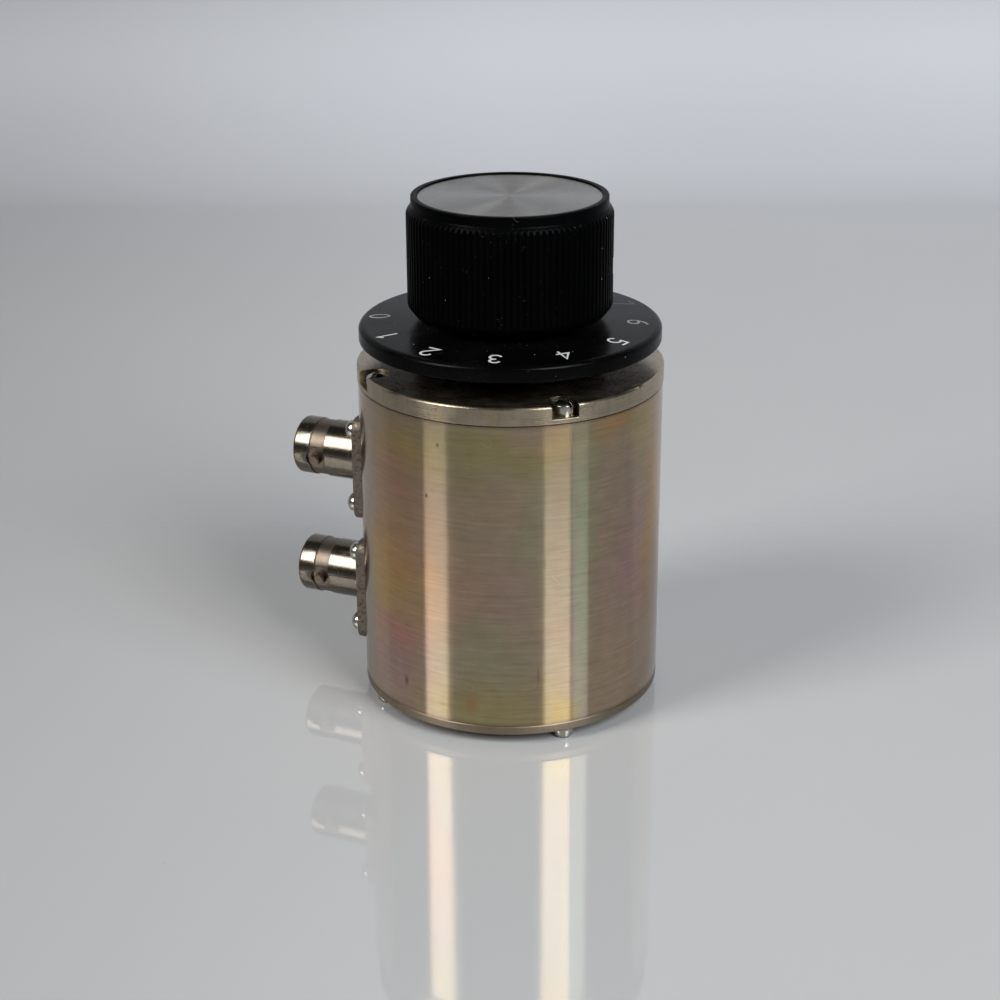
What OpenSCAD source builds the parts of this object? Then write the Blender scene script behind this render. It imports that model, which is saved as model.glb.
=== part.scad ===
// Can-type antenna tuner: a turned tube closed by two screwed plates, two bayonet
// coaxial jacks one above the other, and an eleven-position tap switch with a
// fluted, skirted knob on top. The can's axis is +Z, the floor under the four
// foot screws is z = 0, and the jacks point along -X.

/* [Can] */
// Outer diameter of the tube
tube_d = 48.3; // [46:0.1:52]
// Thickness of the tube's wall
tube_wall = 4.4; // [4.2:0.1:5]
// Height of the tube
tube_h = 49.8; // [48:0.1:60]
// Thickness of the base plate
base_t = 1.6; // [1.2:0.1:3]
// Thickness of the top plate
top_t = 3; // [2.8:0.1:4]
// Diameter of the top plate
top_d = 48.54; // [46:0.02:52]

/* [Plate screws] */
// Radius of the circle that the foot screws stand on
screw_ring_r = 22; // [21.5:0.1:22.5]
// Radius of the circle that the top screws stand on
top_ring_r = 22.2; // [21.5:0.1:22.5]
// Radius of a plate screw's shank
screw_r = 1.1; // [0.9:0.05:1.2]
// Radius of a top screw's fillister head
top_head_r = 1.56; // [1.4:0.02:1.6]
// Height of a top screw's head
top_head_h = 2.3; // [2:0.1:2.6]
// Radius of a foot screw's pan head
foot_head_r = 1.62; // [1.4:0.02:2]
// Height of a foot screw's head
foot_head_h = 1.8; // [1.4:0.1:3]
// Width of the slots milled in the top plate's rim for the screw heads
rim_slot_w = 4.3; // [4.2:0.1:4.6]
// Depth of those rim slots
rim_slot_depth = 2.1; // [1.5:0.1:2.1]

/* [Jacks] */
// Height of the lower jack's axis
jack_low_z = 14.97; // [14.6:0.01:16]
// Distance between the two jacks' axes
jack_pitch = 21.58; // [20:0.01:24]
// Side of the square flange
flange_w = 17.46; // [17:0.02:17.8]
// Thickness of the flange
flange_t = 1.8; // [1.5:0.1:2.2]
// Distance from the can's axis to the flange's outer face
flange_x = 24.25; // [24:0.05:24.6]
// Distance between neighbouring flange screws
flange_pitch = 12.7; // [12.5:0.1:12.9]
// Outer radius of the jack's barrel
barrel_r = 4.8; // [4.7:0.02:4.9]
// Length of the barrel in front of the flange
barrel_len = 13.15; // [12:0.05:14]
// Radius of a bayonet lug
lug_r = 0.95; // [0.8:0.05:1.05]
// Roll of the lugs about the jack's axis
lug_roll = 8; // [0:1:15]

/* [Knob] */
// Radius of the dial skirt
skirt_r = 23.82; // [20:0.02:24]
// Height of the skirt's rim above the floor
skirt_rim_top = 62.2; // [62:0.1:63]
// Thickness of the skirt at its rim
skirt_rim_t = 2.35; // [2:0.05:2.6]
// Outer radius over the grip's ribs
grip_r = 16.05; // [15:0.05:18]
// Number of ribs round the grip
grip_ribs = 100; // [60:1:120]
// Depth of the grooves between the ribs
rib_depth = 0.36; // [0.2:0.02:0.5]
// Radius of the plain collar above the ribs
collar_r = 15.29; // [14:0.05:15.5]
// Height of the knob's top above the floor
knob_top = 82.6; // [80:0.1:84]
// Angle that the knob turns to each side of the middle mark
half_travel = 150; // [90:30:150]
// Angle between two switch positions
index_step = 30; // [30:1:30]

/* [Coil] */
// Outer radius of the ring core
core_ro = 12.2; // [11:0.1:12.6]
// Inner radius of the ring core
core_ri = 6.9; // [6.5:0.1:7.5]
// Height of the ring core
core_h = 8.4; // [6:0.1:9]
// Number of turns on the core
coil_turns = 20; // [12:1:24]
// Radius of the coil's enamelled wire
wire_r = 0.4; // [0.3:0.05:0.45]

/* [Hidden] */

$fn = 96;
eps = 0.01;

tube_r = tube_d / 2;
tube_ri = tube_r - tube_wall;
base_z = foot_head_h;
tube_z = base_z + base_t;
plate_z = tube_z + tube_h;
plate_top = plate_z + top_t;
top_r = top_d / 2;
// The top plate went on about a degree out of line with the base, and its slots were milled
// another degree off its screws.
screw_azimuths = [45, 135, 225, 315];
top_azimuths = [for (azimuth = screw_azimuths) azimuth - 1];
rim_slot_azimuths = [for (azimuth = screw_azimuths) azimuth - 2.2];
plate_screw_len = 6;
clearance_r = screw_r + 0.15;
rim_seat_z = plate_top - rim_slot_depth;
edge_break = 0.25;

// The jack's stations are measured outwards from the can's axis.
jack_high_z = jack_low_z + jack_pitch;
seat_x = flange_x - flange_t;
seat_h = 18.2;
mouth_x = flange_x + barrel_len;
groove_x = [mouth_x - 5.6, mouth_x - 2.9];
groove_r = barrel_r - 0.18;
lug_x = mouth_x - 4.25;
lug_tip_r = 5.5;
spot_r = 1.8;
spot_floor_r = 4.3;
socket_r = 4.08;
socket_depth = 8.5;
shell_tail_x = 19.6;
shell_tail_r = 5.3;
insulator_r = 2.45;
insulator_x = [18.6, mouth_x - 2];
contact_r = 1.1;
contact_x = [15.2, mouth_x - 2.2];
flange_screw_r = 1.1;
flange_head_r = 1.52;
flange_head_h = 2.1;
flange_screw_x = 19.2;

index_azimuth = 77.5;
index_mark_w = 0.35;
index_mark_len = 1.1;

skirt_bottom = skirt_rim_top - skirt_rim_t;
skirt_slope = 0.044;
skirt_bevel = 0.45;
skirt_crown = skirt_rim_top + 0.27;
neck_r = 9;
spigot_r = 7;
skirt_neck_z = skirt_crown + (skirt_r - neck_r) * skirt_slope;
boss_r = 14.9;
boss_gap = 0.45;
recess_r = 11;
grip_floor_z = skirt_rim_top + 1.9;
grip_floor_r = 14.4;
grip_full_z = skirt_rim_top + 3.7;
collar_z = knob_top - 1.55;
shoulder_z = knob_top - 2.05;
lip_w = 1.05;
disc_recess = 0.9;
disc_t = 0.65;
hub_r = 5.5;
hub_z = [skirt_bottom - 0.35, knob_top - 6];
set_screw_z = 71.6;
set_screw_r = 1.75;
set_screw_len = 3.8;
set_screw_azimuths = [112, 202];

shaft_r = 3.175;
shaft_clear = 0.055;
shaft_z = [37.2, 76];
bush_r = 4.76;
bush_top = plate_top + 2.75;
washer_t = 0.5;
nut_h = 2;
nut_flats = 12.7;
index_t = 1.3;
index_z = plate_z - index_t;
index_r = 13.5;
wheel_z = [49.1, 50.9];
wheel_tip_r = 8.4;
wheel_root_r = 7.3;
wheel_teeth = 360 / index_step;
stop_r = 9.6;
stop_play = 10;
stop_half_angle = 180 - half_travel - stop_play;
stop_t = 1.6;
clip_groove_z = 46.6;
wafer_t = 1.6;
wafer_z = 40;
wafer_r = 14;
rotor_r = 6.4;
rotor_gap = 0.2;
clip_t = 0.4;
clip_r = [8, 15.9];
clip_w = 1.9;
rivet_at_r = 10.2;
rivet_r = 0.6;
tie_y = 11.9;
tie_r = 1.1;
spacer_r = 1.9;
nose_gap = 0.15;
clip_count = 360 / index_step;

coil_z = 11.8;
coil_mid_r = (core_ro + core_ri) / 2;
winding_half_w = (core_ro - core_ri) / 2 + wire_r + 0.05;
winding_half_h = core_h / 2 + wire_r + 0.05;
core_edge = 0.6;
coil_start = -62;
coil_span = 304;
wire_sides = 6;
lead_r = 0.45;
tap_end_z = coil_z + 2.4;

// Places one copy of the children at each azimuth, measured from -Y towards +X.
module around(azimuths) {
    for (azimuth = azimuths)
        rotate([0, 0, azimuth]) children();
}

// Turns a shape built along +Z so that it points along -X at the given height.
module on_jack_axis(height) {
    translate([0, 0, height]) rotate([0, -90, 0]) children();
}

module flange_corners() {
    for (a = [-1, 1], b = [-1, 1])
        translate([a * flange_pitch / 2, b * flange_pitch / 2, 0]) children();
}

module tube_z_span(r, z0, z1) {
    translate([0, 0, z0]) cylinder(r = r, h = z1 - z0);
}

// ---- Can ----

module plate_disc(r, t) {
    rotate_extrude()
        polygon([[0, 0], [r - edge_break, 0], [r, edge_break],
                 [r, t - edge_break], [r - edge_break, t], [0, t]]);
}

module can_tube() {
    color([0.77, 0.68, 0.44])
    difference() {
        tube_z_span(tube_r, tube_z, plate_z);
        tube_z_span(tube_ri, tube_z - 1, plate_z + 1);
        for (height = [jack_low_z, jack_high_z]) {
            translate([-seat_x - 10, -tube_r, height - seat_h / 2])
                cube([10, tube_d, seat_h]);
            on_jack_axis(height) {
                cylinder(r = shell_tail_r + 0.25, h = tube_r + 1);
                flange_corners() cylinder(r = flange_screw_r, h = tube_r + 1);
            }
        }
        around(screw_azimuths) translate([0, -screw_ring_r, 0])
            tube_z_span(screw_r, tube_z - 1, tube_z + plate_screw_len + 1);
        around(top_azimuths) translate([0, -top_ring_r, 0])
            tube_z_span(screw_r, plate_z - plate_screw_len - 1, plate_z + 1);
    }
}

module rim_slot() {
    translate([0, -top_ring_r, rim_seat_z]) {
        cylinder(r = rim_slot_w / 2, h = top_t);
        translate([-rim_slot_w / 2, -top_r, 0]) cube([rim_slot_w, top_r, top_t]);
    }
}

module top_plate() {
    color([0.62, 0.6, 0.56])
    difference() {
        translate([0, 0, plate_z]) plate_disc(top_r, top_t);
        tube_z_span(bush_r + 0.05, plate_z - 1, plate_top + 1);
        around(rim_slot_azimuths) rim_slot();
        around(top_azimuths)
            translate([0, -top_ring_r, 0]) tube_z_span(clearance_r, plate_z - 1, plate_top);
        around([index_azimuth])
            translate([-index_mark_w / 2, -top_r - 1, plate_top - index_mark_w])
                cube([index_mark_w, index_mark_len + 1, 1]);
    }
}

module base_plate() {
    color([0.66, 0.64, 0.6])
    difference() {
        translate([0, 0, base_z]) plate_disc(tube_r, base_t);
        tube_z_span(coil_screw_r, base_z - 1, tube_z + 1);
        around(screw_azimuths) translate([0, -screw_ring_r, 0])
            tube_z_span(clearance_r, base_z - 1, tube_z + 1);
        translate([ground_xy[0], ground_xy[1], 0])
            tube_z_span(ground_stud_r, base_z - 1, tube_z + 1);
    }
}

// A headed screw standing on its seat: the head is above z = 0 and the shank below it.
module slotted_screw(head_r, head_h, dome_h, shank_r, shank_len, slot_w, slot_depth) {
    side_h = head_h - dome_h;
    sphere_r = (head_r * head_r + dome_h * dome_h) / (2 * dome_h);
    difference() {
        union() {
            cylinder(r = head_r, h = side_h);
            intersection() {
                translate([0, 0, head_h - sphere_r]) sphere(r = sphere_r);
                translate([0, 0, side_h - eps]) cylinder(r = head_r, h = head_h);
            }
            translate([0, 0, -shank_len]) cylinder(r = shank_r, h = shank_len + eps);
        }
        translate([-slot_w / 2, -head_r - 1, head_h - slot_depth])
            cube([slot_w, 2 * head_r + 2, head_h]);
    }
}

module top_screws() {
    slot_turns = [20, 75, -35, 50];
    color([0.78, 0.77, 0.74])
    for (i = [0:3])
        around([top_azimuths[i]])
            translate([0, -top_ring_r, rim_seat_z])
                rotate([0, 0, slot_turns[i]])
                    slotted_screw(top_head_r, top_head_h, 0.6, screw_r, plate_screw_len + 1, 0.5, 0.9);
}

// The foot screws' pan heads carry the can, so each has a flat crown round its cross recess.
module foot_screw() {
    crown_r = foot_head_r - 0.45;
    difference() {
        union() {
            rotate_extrude()
                polygon([[0, 0], [crown_r, 0], [foot_head_r - 0.12, 0.28], [foot_head_r, 0.7],
                         [foot_head_r, foot_head_h], [0, foot_head_h]]);
            cylinder(r = screw_r, h = foot_head_h + base_t + plate_screw_len);
        }
        for (turn = [0, 90])
            rotate([0, 0, turn]) translate([-0.25, -0.85, -1]) cube([0.5, 1.7, 1.8]);
    }
}

module foot_screws() {
    color([0.78, 0.77, 0.74])
    around(screw_azimuths) translate([0, -screw_ring_r, 0]) foot_screw();
}

// ---- Jacks ----

module flange_plate() {
    corner_r = 2;
    difference() {
        translate([0, 0, seat_x]) union() {
            translate([-flange_w / 2, corner_r - flange_w / 2, 0])
                cube([flange_w, flange_w - 2 * corner_r, flange_t]);
            translate([corner_r - flange_w / 2, -flange_w / 2, 0])
                cube([flange_w - 2 * corner_r, flange_w, flange_t]);
            for (a = [-1, 1], b = [-1, 1])
                translate([a * (flange_w / 2 - corner_r), b * (flange_w / 2 - corner_r), 0])
                    cylinder(r = corner_r, h = flange_t);
        }
        flange_corners() cylinder(r = flange_screw_r + 0.1, h = flange_x + 1);
        cylinder(r = barrel_r - 1, h = flange_x + 1);
    }
}

// The turned shell, hollow from the mouth to the insulator's seat.
module jack_barrel() {
    mouth_chamfer = 0.35;
    fillet = 0.25;
    floor_x = mouth_x - socket_depth;
    rotate_extrude()
        polygon([[insulator_r, shell_tail_x], [shell_tail_r, shell_tail_x],
                 [shell_tail_r, flange_x - fillet], [barrel_r, flange_x + fillet],
                 [barrel_r, groove_x[0]], [groove_r, groove_x[0] + 0.15],
                 [groove_r, groove_x[1] - 0.15], [barrel_r, groove_x[1]],
                 [barrel_r, mouth_x - mouth_chamfer], [barrel_r - 0.2, mouth_x],
                 [socket_r + mouth_chamfer, mouth_x], [socket_r, mouth_x - mouth_chamfer],
                 [socket_r, floor_x], [insulator_r, floor_x]]);
}

// Stands the children on the barrel's side, pointing outwards, at each lug.
module at_lugs(foot_r) {
    for (side = [0, 180])
        rotate([0, 0, side - lug_roll]) translate([0, foot_r, lug_x]) rotate([-90, 0, 0]) children();
}

module jack_shell(height) {
    lug_foot_r = socket_r + 0.2;
    lug_round = 0.15;
    on_jack_axis(height) {
        difference() {
            union() {
                flange_plate();
                jack_barrel();
            }
            at_lugs(spot_floor_r) cylinder(r = spot_r, h = 2);
        }
        at_lugs(lug_foot_r) {
            cylinder(r = lug_r, h = lug_tip_r - lug_foot_r - lug_round);
            cylinder(r = lug_r - lug_round, h = lug_tip_r - lug_foot_r);
        }
    }
}

module jack_insulator(height) {
    on_jack_axis(height) difference() {
        tube_z_span(insulator_r, insulator_x[0], insulator_x[1]);
        tube_z_span(contact_r, insulator_x[0] - 1, insulator_x[1] + 1);
    }
}

module jack_contact(height) {
    socket_bore_r = 0.68;
    cup_bore_r = 0.75;
    slit_w = 0.25;
    slit_len = 4;
    on_jack_axis(height) difference() {
        tube_z_span(contact_r, contact_x[0], contact_x[1]);
        tube_z_span(socket_bore_r, contact_x[1] - 5, contact_x[1] + 1);
        tube_z_span(cup_bore_r, contact_x[0] - 1, contact_x[0] + 2.6);
        for (turn = [0, 90])
            rotate([0, 0, turn]) translate([-slit_w / 2, -2, contact_x[1] - slit_len])
                cube([slit_w, 4, slit_len + 1]);
    }
}

module jack_screws(height) {
    slot_turns = [15, 70, 120, 160];
    on_jack_axis(height)
        for (i = [0:3])
            rotate([0, 0, 90 * i]) translate([flange_pitch / 2, flange_pitch / 2, flange_x])
                rotate([0, 0, slot_turns[i]])
                    slotted_screw(flange_head_r, flange_head_h, 0.9, flange_screw_r,
                                  flange_x - flange_screw_x, 0.5, 0.75);
}

module jack_shell_upper() { color([0.82, 0.8, 0.76]) jack_shell(jack_high_z); }
module jack_shell_lower() { color([0.82, 0.8, 0.76]) jack_shell(jack_low_z); }
module jack_insulator_upper() { color([0.93, 0.92, 0.88]) jack_insulator(jack_high_z); }
module jack_insulator_lower() { color([0.93, 0.92, 0.88]) jack_insulator(jack_low_z); }
module jack_contact_upper() { color([0.85, 0.65, 0.25]) jack_contact(jack_high_z); }
module jack_contact_lower() { color([0.85, 0.65, 0.25]) jack_contact(jack_low_z); }
module jack_screws_upper() { color([0.8, 0.79, 0.75]) jack_screws(jack_high_z); }
module jack_screws_lower() { color([0.8, 0.79, 0.75]) jack_screws(jack_low_z); }

// ---- Knob ----

// The ribbed outline: each rib has a narrow flat crest, and each groove a narrow flat root.
function rib_outline() = [
    for (i = [0:grip_ribs - 1], corner = [[-0.2, 0], [0.2, 0], [0.4, rib_depth], [0.6, rib_depth]])
        let (angle = (i + corner[0]) * 360 / grip_ribs, r = grip_r - corner[1])
            [r * cos(angle), r * sin(angle)]
];

module grip_envelope() {
    shoulder_round = 0.3;
    rotate_extrude()
        polygon([[0, grip_floor_z], [grip_floor_r, grip_floor_z], [grip_floor_r + 0.25, grip_floor_z + 0.25],
                 [grip_r + eps, grip_full_z], [grip_r + eps, shoulder_z - 2 * shoulder_round],
                 [grip_r - shoulder_round, shoulder_z], [collar_r, collar_z], [0, collar_z]]);
}

module knob_grip() {
    color([0.035, 0.035, 0.04])
    difference() {
        union() {
            intersection() {
                translate([0, 0, grip_floor_z - 1])
                    linear_extrude(knob_top - grip_floor_z) polygon(rib_outline());
                grip_envelope();
            }
            rotate_extrude()
                polygon([[0, collar_z - 1], [collar_r, collar_z - 1], [collar_r, knob_top - 0.3],
                         [collar_r - 0.3, knob_top], [0, knob_top]]);
            tube_z_span(neck_r, skirt_neck_z, grip_floor_z + 1);
            tube_z_span(spigot_r, skirt_bottom, skirt_neck_z + 1);
        }
        tube_z_span(collar_r - lip_w, knob_top - disc_recess, knob_top + 1);
        tube_z_span(hub_r, skirt_bottom - 1, hub_z[1]);
        around(set_screw_azimuths) translate([0, 0, set_screw_z]) rotate([90, 0, 0])
            cylinder(r = set_screw_r + 0.1, h = grip_r + 1);
    }
}

module knob_disc() {
    color([0.72, 0.72, 0.73])
    translate([0, 0, knob_top - disc_recess]) cylinder(r = collar_r - lip_w, h = disc_t);
}

module dial_skirt() {
    roof = skirt_bottom;
    color([0.04, 0.04, 0.045])
    difference() {
        union() {
            rotate_extrude()
                polygon([[spigot_r, skirt_bottom], [skirt_r - 0.2, skirt_bottom],
                         [skirt_r, skirt_bottom + 0.2], [skirt_r, skirt_rim_top - skirt_bevel],
                         [skirt_r - 0.12, skirt_rim_top - 0.15],
                         [skirt_r - skirt_bevel, skirt_rim_top + 0.15],
                         [skirt_r - 2 * skirt_bevel, skirt_crown],
                         [neck_r, skirt_neck_z], [spigot_r, skirt_neck_z]]);
            tube_z_span(boss_r, plate_top + boss_gap, skirt_bottom + 1);
        }
        tube_z_span(recess_r, plate_top, roof);
        tube_z_span(spigot_r, plate_top, knob_top);
    }
}

module hub_bush() {
    color([0.78, 0.62, 0.28])
    difference() {
        tube_z_span(hub_r, hub_z[0], hub_z[1]);
        tube_z_span(shaft_r + 0.01, hub_z[0] - 1, shaft_z[1] + 0.2);
        around(set_screw_azimuths) translate([0, 0, set_screw_z]) rotate([90, 0, 0])
            cylinder(r = set_screw_r, h = hub_r + 1);
    }
}

module set_screws() {
    key_flats = 1.6;
    inner_r = shaft_r + 0.02;
    color([0.2, 0.2, 0.22])
    around(set_screw_azimuths) translate([0, -inner_r, set_screw_z]) rotate([90, 0, 0])
        difference() {
            cylinder(r = set_screw_r, h = set_screw_len);
            translate([0, 0, set_screw_len - 1.6]) cylinder(d = key_flats / cos(30), h = 2, $fn = 6);
        }
}

// ---- Switch ----

module switch_bush() {
    collar_t = 0.8;
    color([0.75, 0.7, 0.6])
    difference() {
        union() {
            tube_z_span(bush_r, index_z - collar_t, bush_top);
            tube_z_span(bush_r + 1.4, index_z - collar_t, index_z);
        }
        tube_z_span(shaft_r + shaft_clear, index_z - 2, bush_top + 1);
    }
}

module bush_nut() {
    color([0.8, 0.79, 0.75])
    translate([0, 0, plate_top + washer_t])
        difference() {
            cylinder(d = nut_flats / cos(30), h = nut_h, $fn = 6);
            translate([0, 0, -1]) cylinder(r = bush_r, h = nut_h + 2);
        }
}

module bush_washer() {
    teeth = 16;
    color([0.72, 0.71, 0.68])
    difference() {
        tube_z_span(nut_flats / 2, plate_top, plate_top + washer_t);
        tube_z_span(bush_r + 0.02, plate_top - 1, plate_top + washer_t + 1);
        for (i = [0:teeth - 1])
            rotate([0, 0, i * 360 / teeth]) translate([nut_flats / 2 - 0.55, -0.3, plate_top - 1])
                cube([2, 0.6, 3]);
    }
}

module index_plate() {
    tab_r = [wheel_tip_r + 0.2, index_r - 0.2];
    tab_z = wheel_z[0] - stop_t;
    color([0.72, 0.7, 0.64])
    difference() {
        union() {
            tube_z_span(index_r, index_z, plate_z);
            // The fixed stop hangs from the plate, opposite the wheel's arm.
            translate([-tab_r[1], -1.2, tab_z]) cube([tab_r[1] - tab_r[0], 2.4, index_z - tab_z + eps]);
        }
        tube_z_span(bush_r, index_z - 1, plate_z + 1);
        for (side = [-1, 1]) {
            translate([0, side * tie_y, 0]) tube_z_span(tie_r, index_z - 1, plate_z + 1);
            around([spring_azimuth]) translate([side * post_x, post_y, 0])
                tube_z_span(post_r, index_z - 1, plate_z + 1);
        }
    }
}

spring_azimuth = 90;
post_x = 7;
post_y = -9.4;
post_r = 0.7;

// A leaf between two posts, with a nose that lies in one notch of the star wheel.
module detent_spring() {
    leaf = 0.3;
    nose_y = -wheel_root_r - 0.12;
    crown_y = post_y - post_r - 0.02;
    outer = [[-post_x - 1, crown_y], [-2, crown_y], [0, nose_y], [2, crown_y], [post_x + 1, crown_y]];
    inner = [for (i = [4:-1:0]) outer[i] - [0, leaf]];
    color([0.76, 0.6, 0.3])
    around([spring_azimuth]) translate([0, 0, wheel_z[0] + 0.1])
        linear_extrude(wheel_z[1] - wheel_z[0] - 0.2) polygon(concat(outer, inner));
}

module spring_posts() {
    color([0.78, 0.77, 0.74])
    for (side = [-1, 1])
        around([spring_azimuth]) translate([side * post_x, post_y, 0])
            tube_z_span(post_r, wheel_z[0] - 0.1, plate_z);
}

// Twelve notches set the positions, and the arm meets the fixed stop past each end one.
module star_wheel() {
    outline = [
        for (i = [0:wheel_teeth - 1], corner = [[0.18, wheel_tip_r], [0.82, wheel_tip_r], [1, wheel_root_r]])
            let (angle = (i + corner[0]) * index_step)
                [corner[1] * sin(angle), -corner[1] * cos(angle)]
    ];
    arm = stop_half_angle;
    color([0.8, 0.68, 0.42])
    difference() {
        union() {
            translate([0, 0, wheel_z[0]]) linear_extrude(wheel_z[1] - wheel_z[0]) polygon(outline);
            tube_z_span(shaft_r + 2, wheel_z[0] - stop_t, wheel_z[0] + eps);
            translate([0, 0, wheel_z[0] - stop_t]) linear_extrude(stop_t)
                polygon([[0, 0], [stop_r * cos(arm), -stop_r * sin(arm)], [stop_r, 0],
                         [stop_r * cos(arm), stop_r * sin(arm)]]);
        }
        tube_z_span(shaft_r, wheel_z[0] - stop_t - 1, wheel_z[1] + 1);
    }
}

module shaft() {
    color([0.72, 0.71, 0.7])
    difference() {
        union() {
            tube_z_span(shaft_r, shaft_z[0], shaft_z[1] - 0.4);
            translate([0, 0, shaft_z[1] - 0.4]) cylinder(r1 = shaft_r, r2 = shaft_r - 0.4, h = 0.4);
        }
        difference() {
            tube_z_span(shaft_r + 1, clip_groove_z, clip_groove_z + 0.6);
            tube_z_span(shaft_r - 0.5, clip_groove_z - 1, clip_groove_z + 2);
        }
    }
}

module shaft_clip() {
    color([0.3, 0.3, 0.32])
    difference() {
        tube_z_span(shaft_r + 1.4, clip_groove_z + 0.03, clip_groove_z + 0.57);
        tube_z_span(shaft_r - 0.48, clip_groove_z - 1, clip_groove_z + 2);
        translate([-1.6, 0, clip_groove_z - 1]) cube([3.2, 10, 3]);
    }
}

module stator_wafer() {
    color([0.55, 0.36, 0.2])
    difference() {
        tube_z_span(wafer_r, wafer_z, wafer_z + wafer_t);
        tube_z_span(rotor_r + rotor_gap, wafer_z - 1, wafer_z + wafer_t + 1);
        for (side = [-1, 1])
            translate([0, side * tie_y, 0]) tube_z_span(tie_r, wafer_z - 1, wafer_z + wafer_t + 1);
        around(clip_azimuths) translate([0, -rivet_at_r, 0])
            tube_z_span(rivet_r, wafer_z - 1, wafer_z + wafer_t + 1);
    }
}

// The clips stand midway between the tie screws' lines, at every second half step.
clip_azimuths = [for (i = [0:clip_count - 1]) (i + 0.5) * index_step];
common_clip = 8;
middle_clip = common_clip - 6;
tap_clips = [for (i = [0:clip_count - 1]) if (i != common_clip) i];

module stator_clips() {
    color([0.8, 0.78, 0.7])
    translate([0, 0, wafer_z + wafer_t])
        for (azimuth = clip_azimuths) {
            start_r = azimuth == clip_azimuths[common_clip] ? rotor_r + 0.6 : clip_r[0];
            rotate([0, 0, azimuth]) difference() {
                union() {
                    translate([-clip_w / 2, -clip_r[1] + 1, 0])
                        cube([clip_w, clip_r[1] - start_r - 1, clip_t]);
                    translate([0, -clip_r[1] + 1, 0]) cylinder(r = 1, h = clip_t);
                }
                translate([0, -clip_r[1] + 1, -1]) cylinder(r = 0.5, h = 3);
                translate([0, -rivet_at_r, -1]) cylinder(r = rivet_r, h = 3);
            }
        }
}

module clip_rivets() {
    head_r = rivet_r + 0.25;
    color([0.75, 0.72, 0.62])
    around(clip_azimuths) translate([0, -rivet_at_r, 0]) {
        tube_z_span(rivet_r, wafer_z - 0.3, wafer_z + wafer_t + clip_t + 0.05);
        tube_z_span(head_r, wafer_z - 0.35, wafer_z);
        tube_z_span(head_r, wafer_z + wafer_t + clip_t, wafer_z + wafer_t + clip_t + 0.1);
    }
}

module rotor_disc() {
    color([0.5, 0.32, 0.18])
    difference() {
        tube_z_span(rotor_r, wafer_z, wafer_z + wafer_t);
        tube_z_span(shaft_r, wafer_z - 1, wafer_z + wafer_t + 1);
    }
}

// The blade's nose sweeps just over the clips, and its ring bears on the long common clip.
module rotor_contact() {
    blade_z = wafer_z + wafer_t + clip_t + 0.1 + nose_gap;
    color([0.85, 0.84, 0.8])
    difference() {
        union() {
            tube_z_span(rotor_r + 1.3, blade_z, blade_z + clip_t);
            around([clip_azimuths[middle_clip]]) translate([-0.8, -9.1, blade_z]) cube([1.6, 5, clip_t]);
            tube_z_span(rotor_r - 1, wafer_z + wafer_t, blade_z + eps);
        }
        tube_z_span(shaft_r, wafer_z, blade_z + 2);
    }
}

module wafer_spacers() {
    color([0.8, 0.79, 0.75])
    for (side = [-1, 1])
        translate([0, side * tie_y, 0]) difference() {
            tube_z_span(spacer_r, wafer_z + wafer_t, index_z);
            tube_z_span(tie_r, wafer_z, index_z + 1);
        }
}

module tie_rods() {
    color([0.78, 0.77, 0.74])
    for (side = [-1, 1])
        translate([0, side * tie_y, 0]) tube_z_span(tie_r, wafer_z - 2.6, plate_z - 0.05);
}

module tie_nuts() {
    tie_nut_h = 1.6;
    tie_nut_flats = 4.4;
    color([0.8, 0.79, 0.75])
    for (side = [-1, 1])
        translate([0, side * tie_y, wafer_z - tie_nut_h]) difference() {
            cylinder(d = tie_nut_flats / cos(30), h = tie_nut_h, $fn = 6);
            translate([0, 0, -1]) cylinder(r = tie_r, h = tie_nut_h + 2);
        }
}

// ---- Coil and wiring ----

coil_screw_r = 1.5;
ground_xy = [-12, -12];
ground_stud_r = 1;
winding_bottom = coil_z - winding_half_h - wire_r;
winding_top = coil_z + winding_half_h + wire_r;
clamp_t = 1.6;

module coil_core() {
    half_w = (core_ro - core_ri) / 2;
    half_h = core_h / 2;
    color([0.55, 0.14, 0.12])
    translate([0, 0, coil_z]) rotate_extrude()
        translate([coil_mid_r, 0])
            polygon([[-half_w, core_edge - half_h], [core_edge - half_w, -half_h],
                     [half_w - core_edge, -half_h], [half_w, core_edge - half_h],
                     [half_w, half_h - core_edge], [half_w - core_edge, half_h],
                     [core_edge - half_w, half_h], [-half_w, half_h - core_edge]]);
}

// One turn round the core's section: four rounded corners of three points each.
corner_round = wire_r + core_edge;
function turn_point(step) =
    let (corner = floor(step / 3), a = corner * 90 + (step % 3) * 45,
         cx = (corner == 0 || corner == 3) ? 1 : -1, cz = corner < 2 ? 1 : -1)
    [cx * (winding_half_w - corner_round) + corner_round * cos(a),
     cz * (winding_half_h - corner_round) + corner_round * sin(a)];

function winding_path() = [
    for (i = [0:coil_turns * 12])
        let (section = turn_point(i % 12), azimuth = coil_start + coil_span * i / (coil_turns * 12),
             r = coil_mid_r + section[0])
            [r * sin(azimuth), -r * cos(azimuth), coil_z + section[1]]
];

function unit(v) = v / norm(v);

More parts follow.
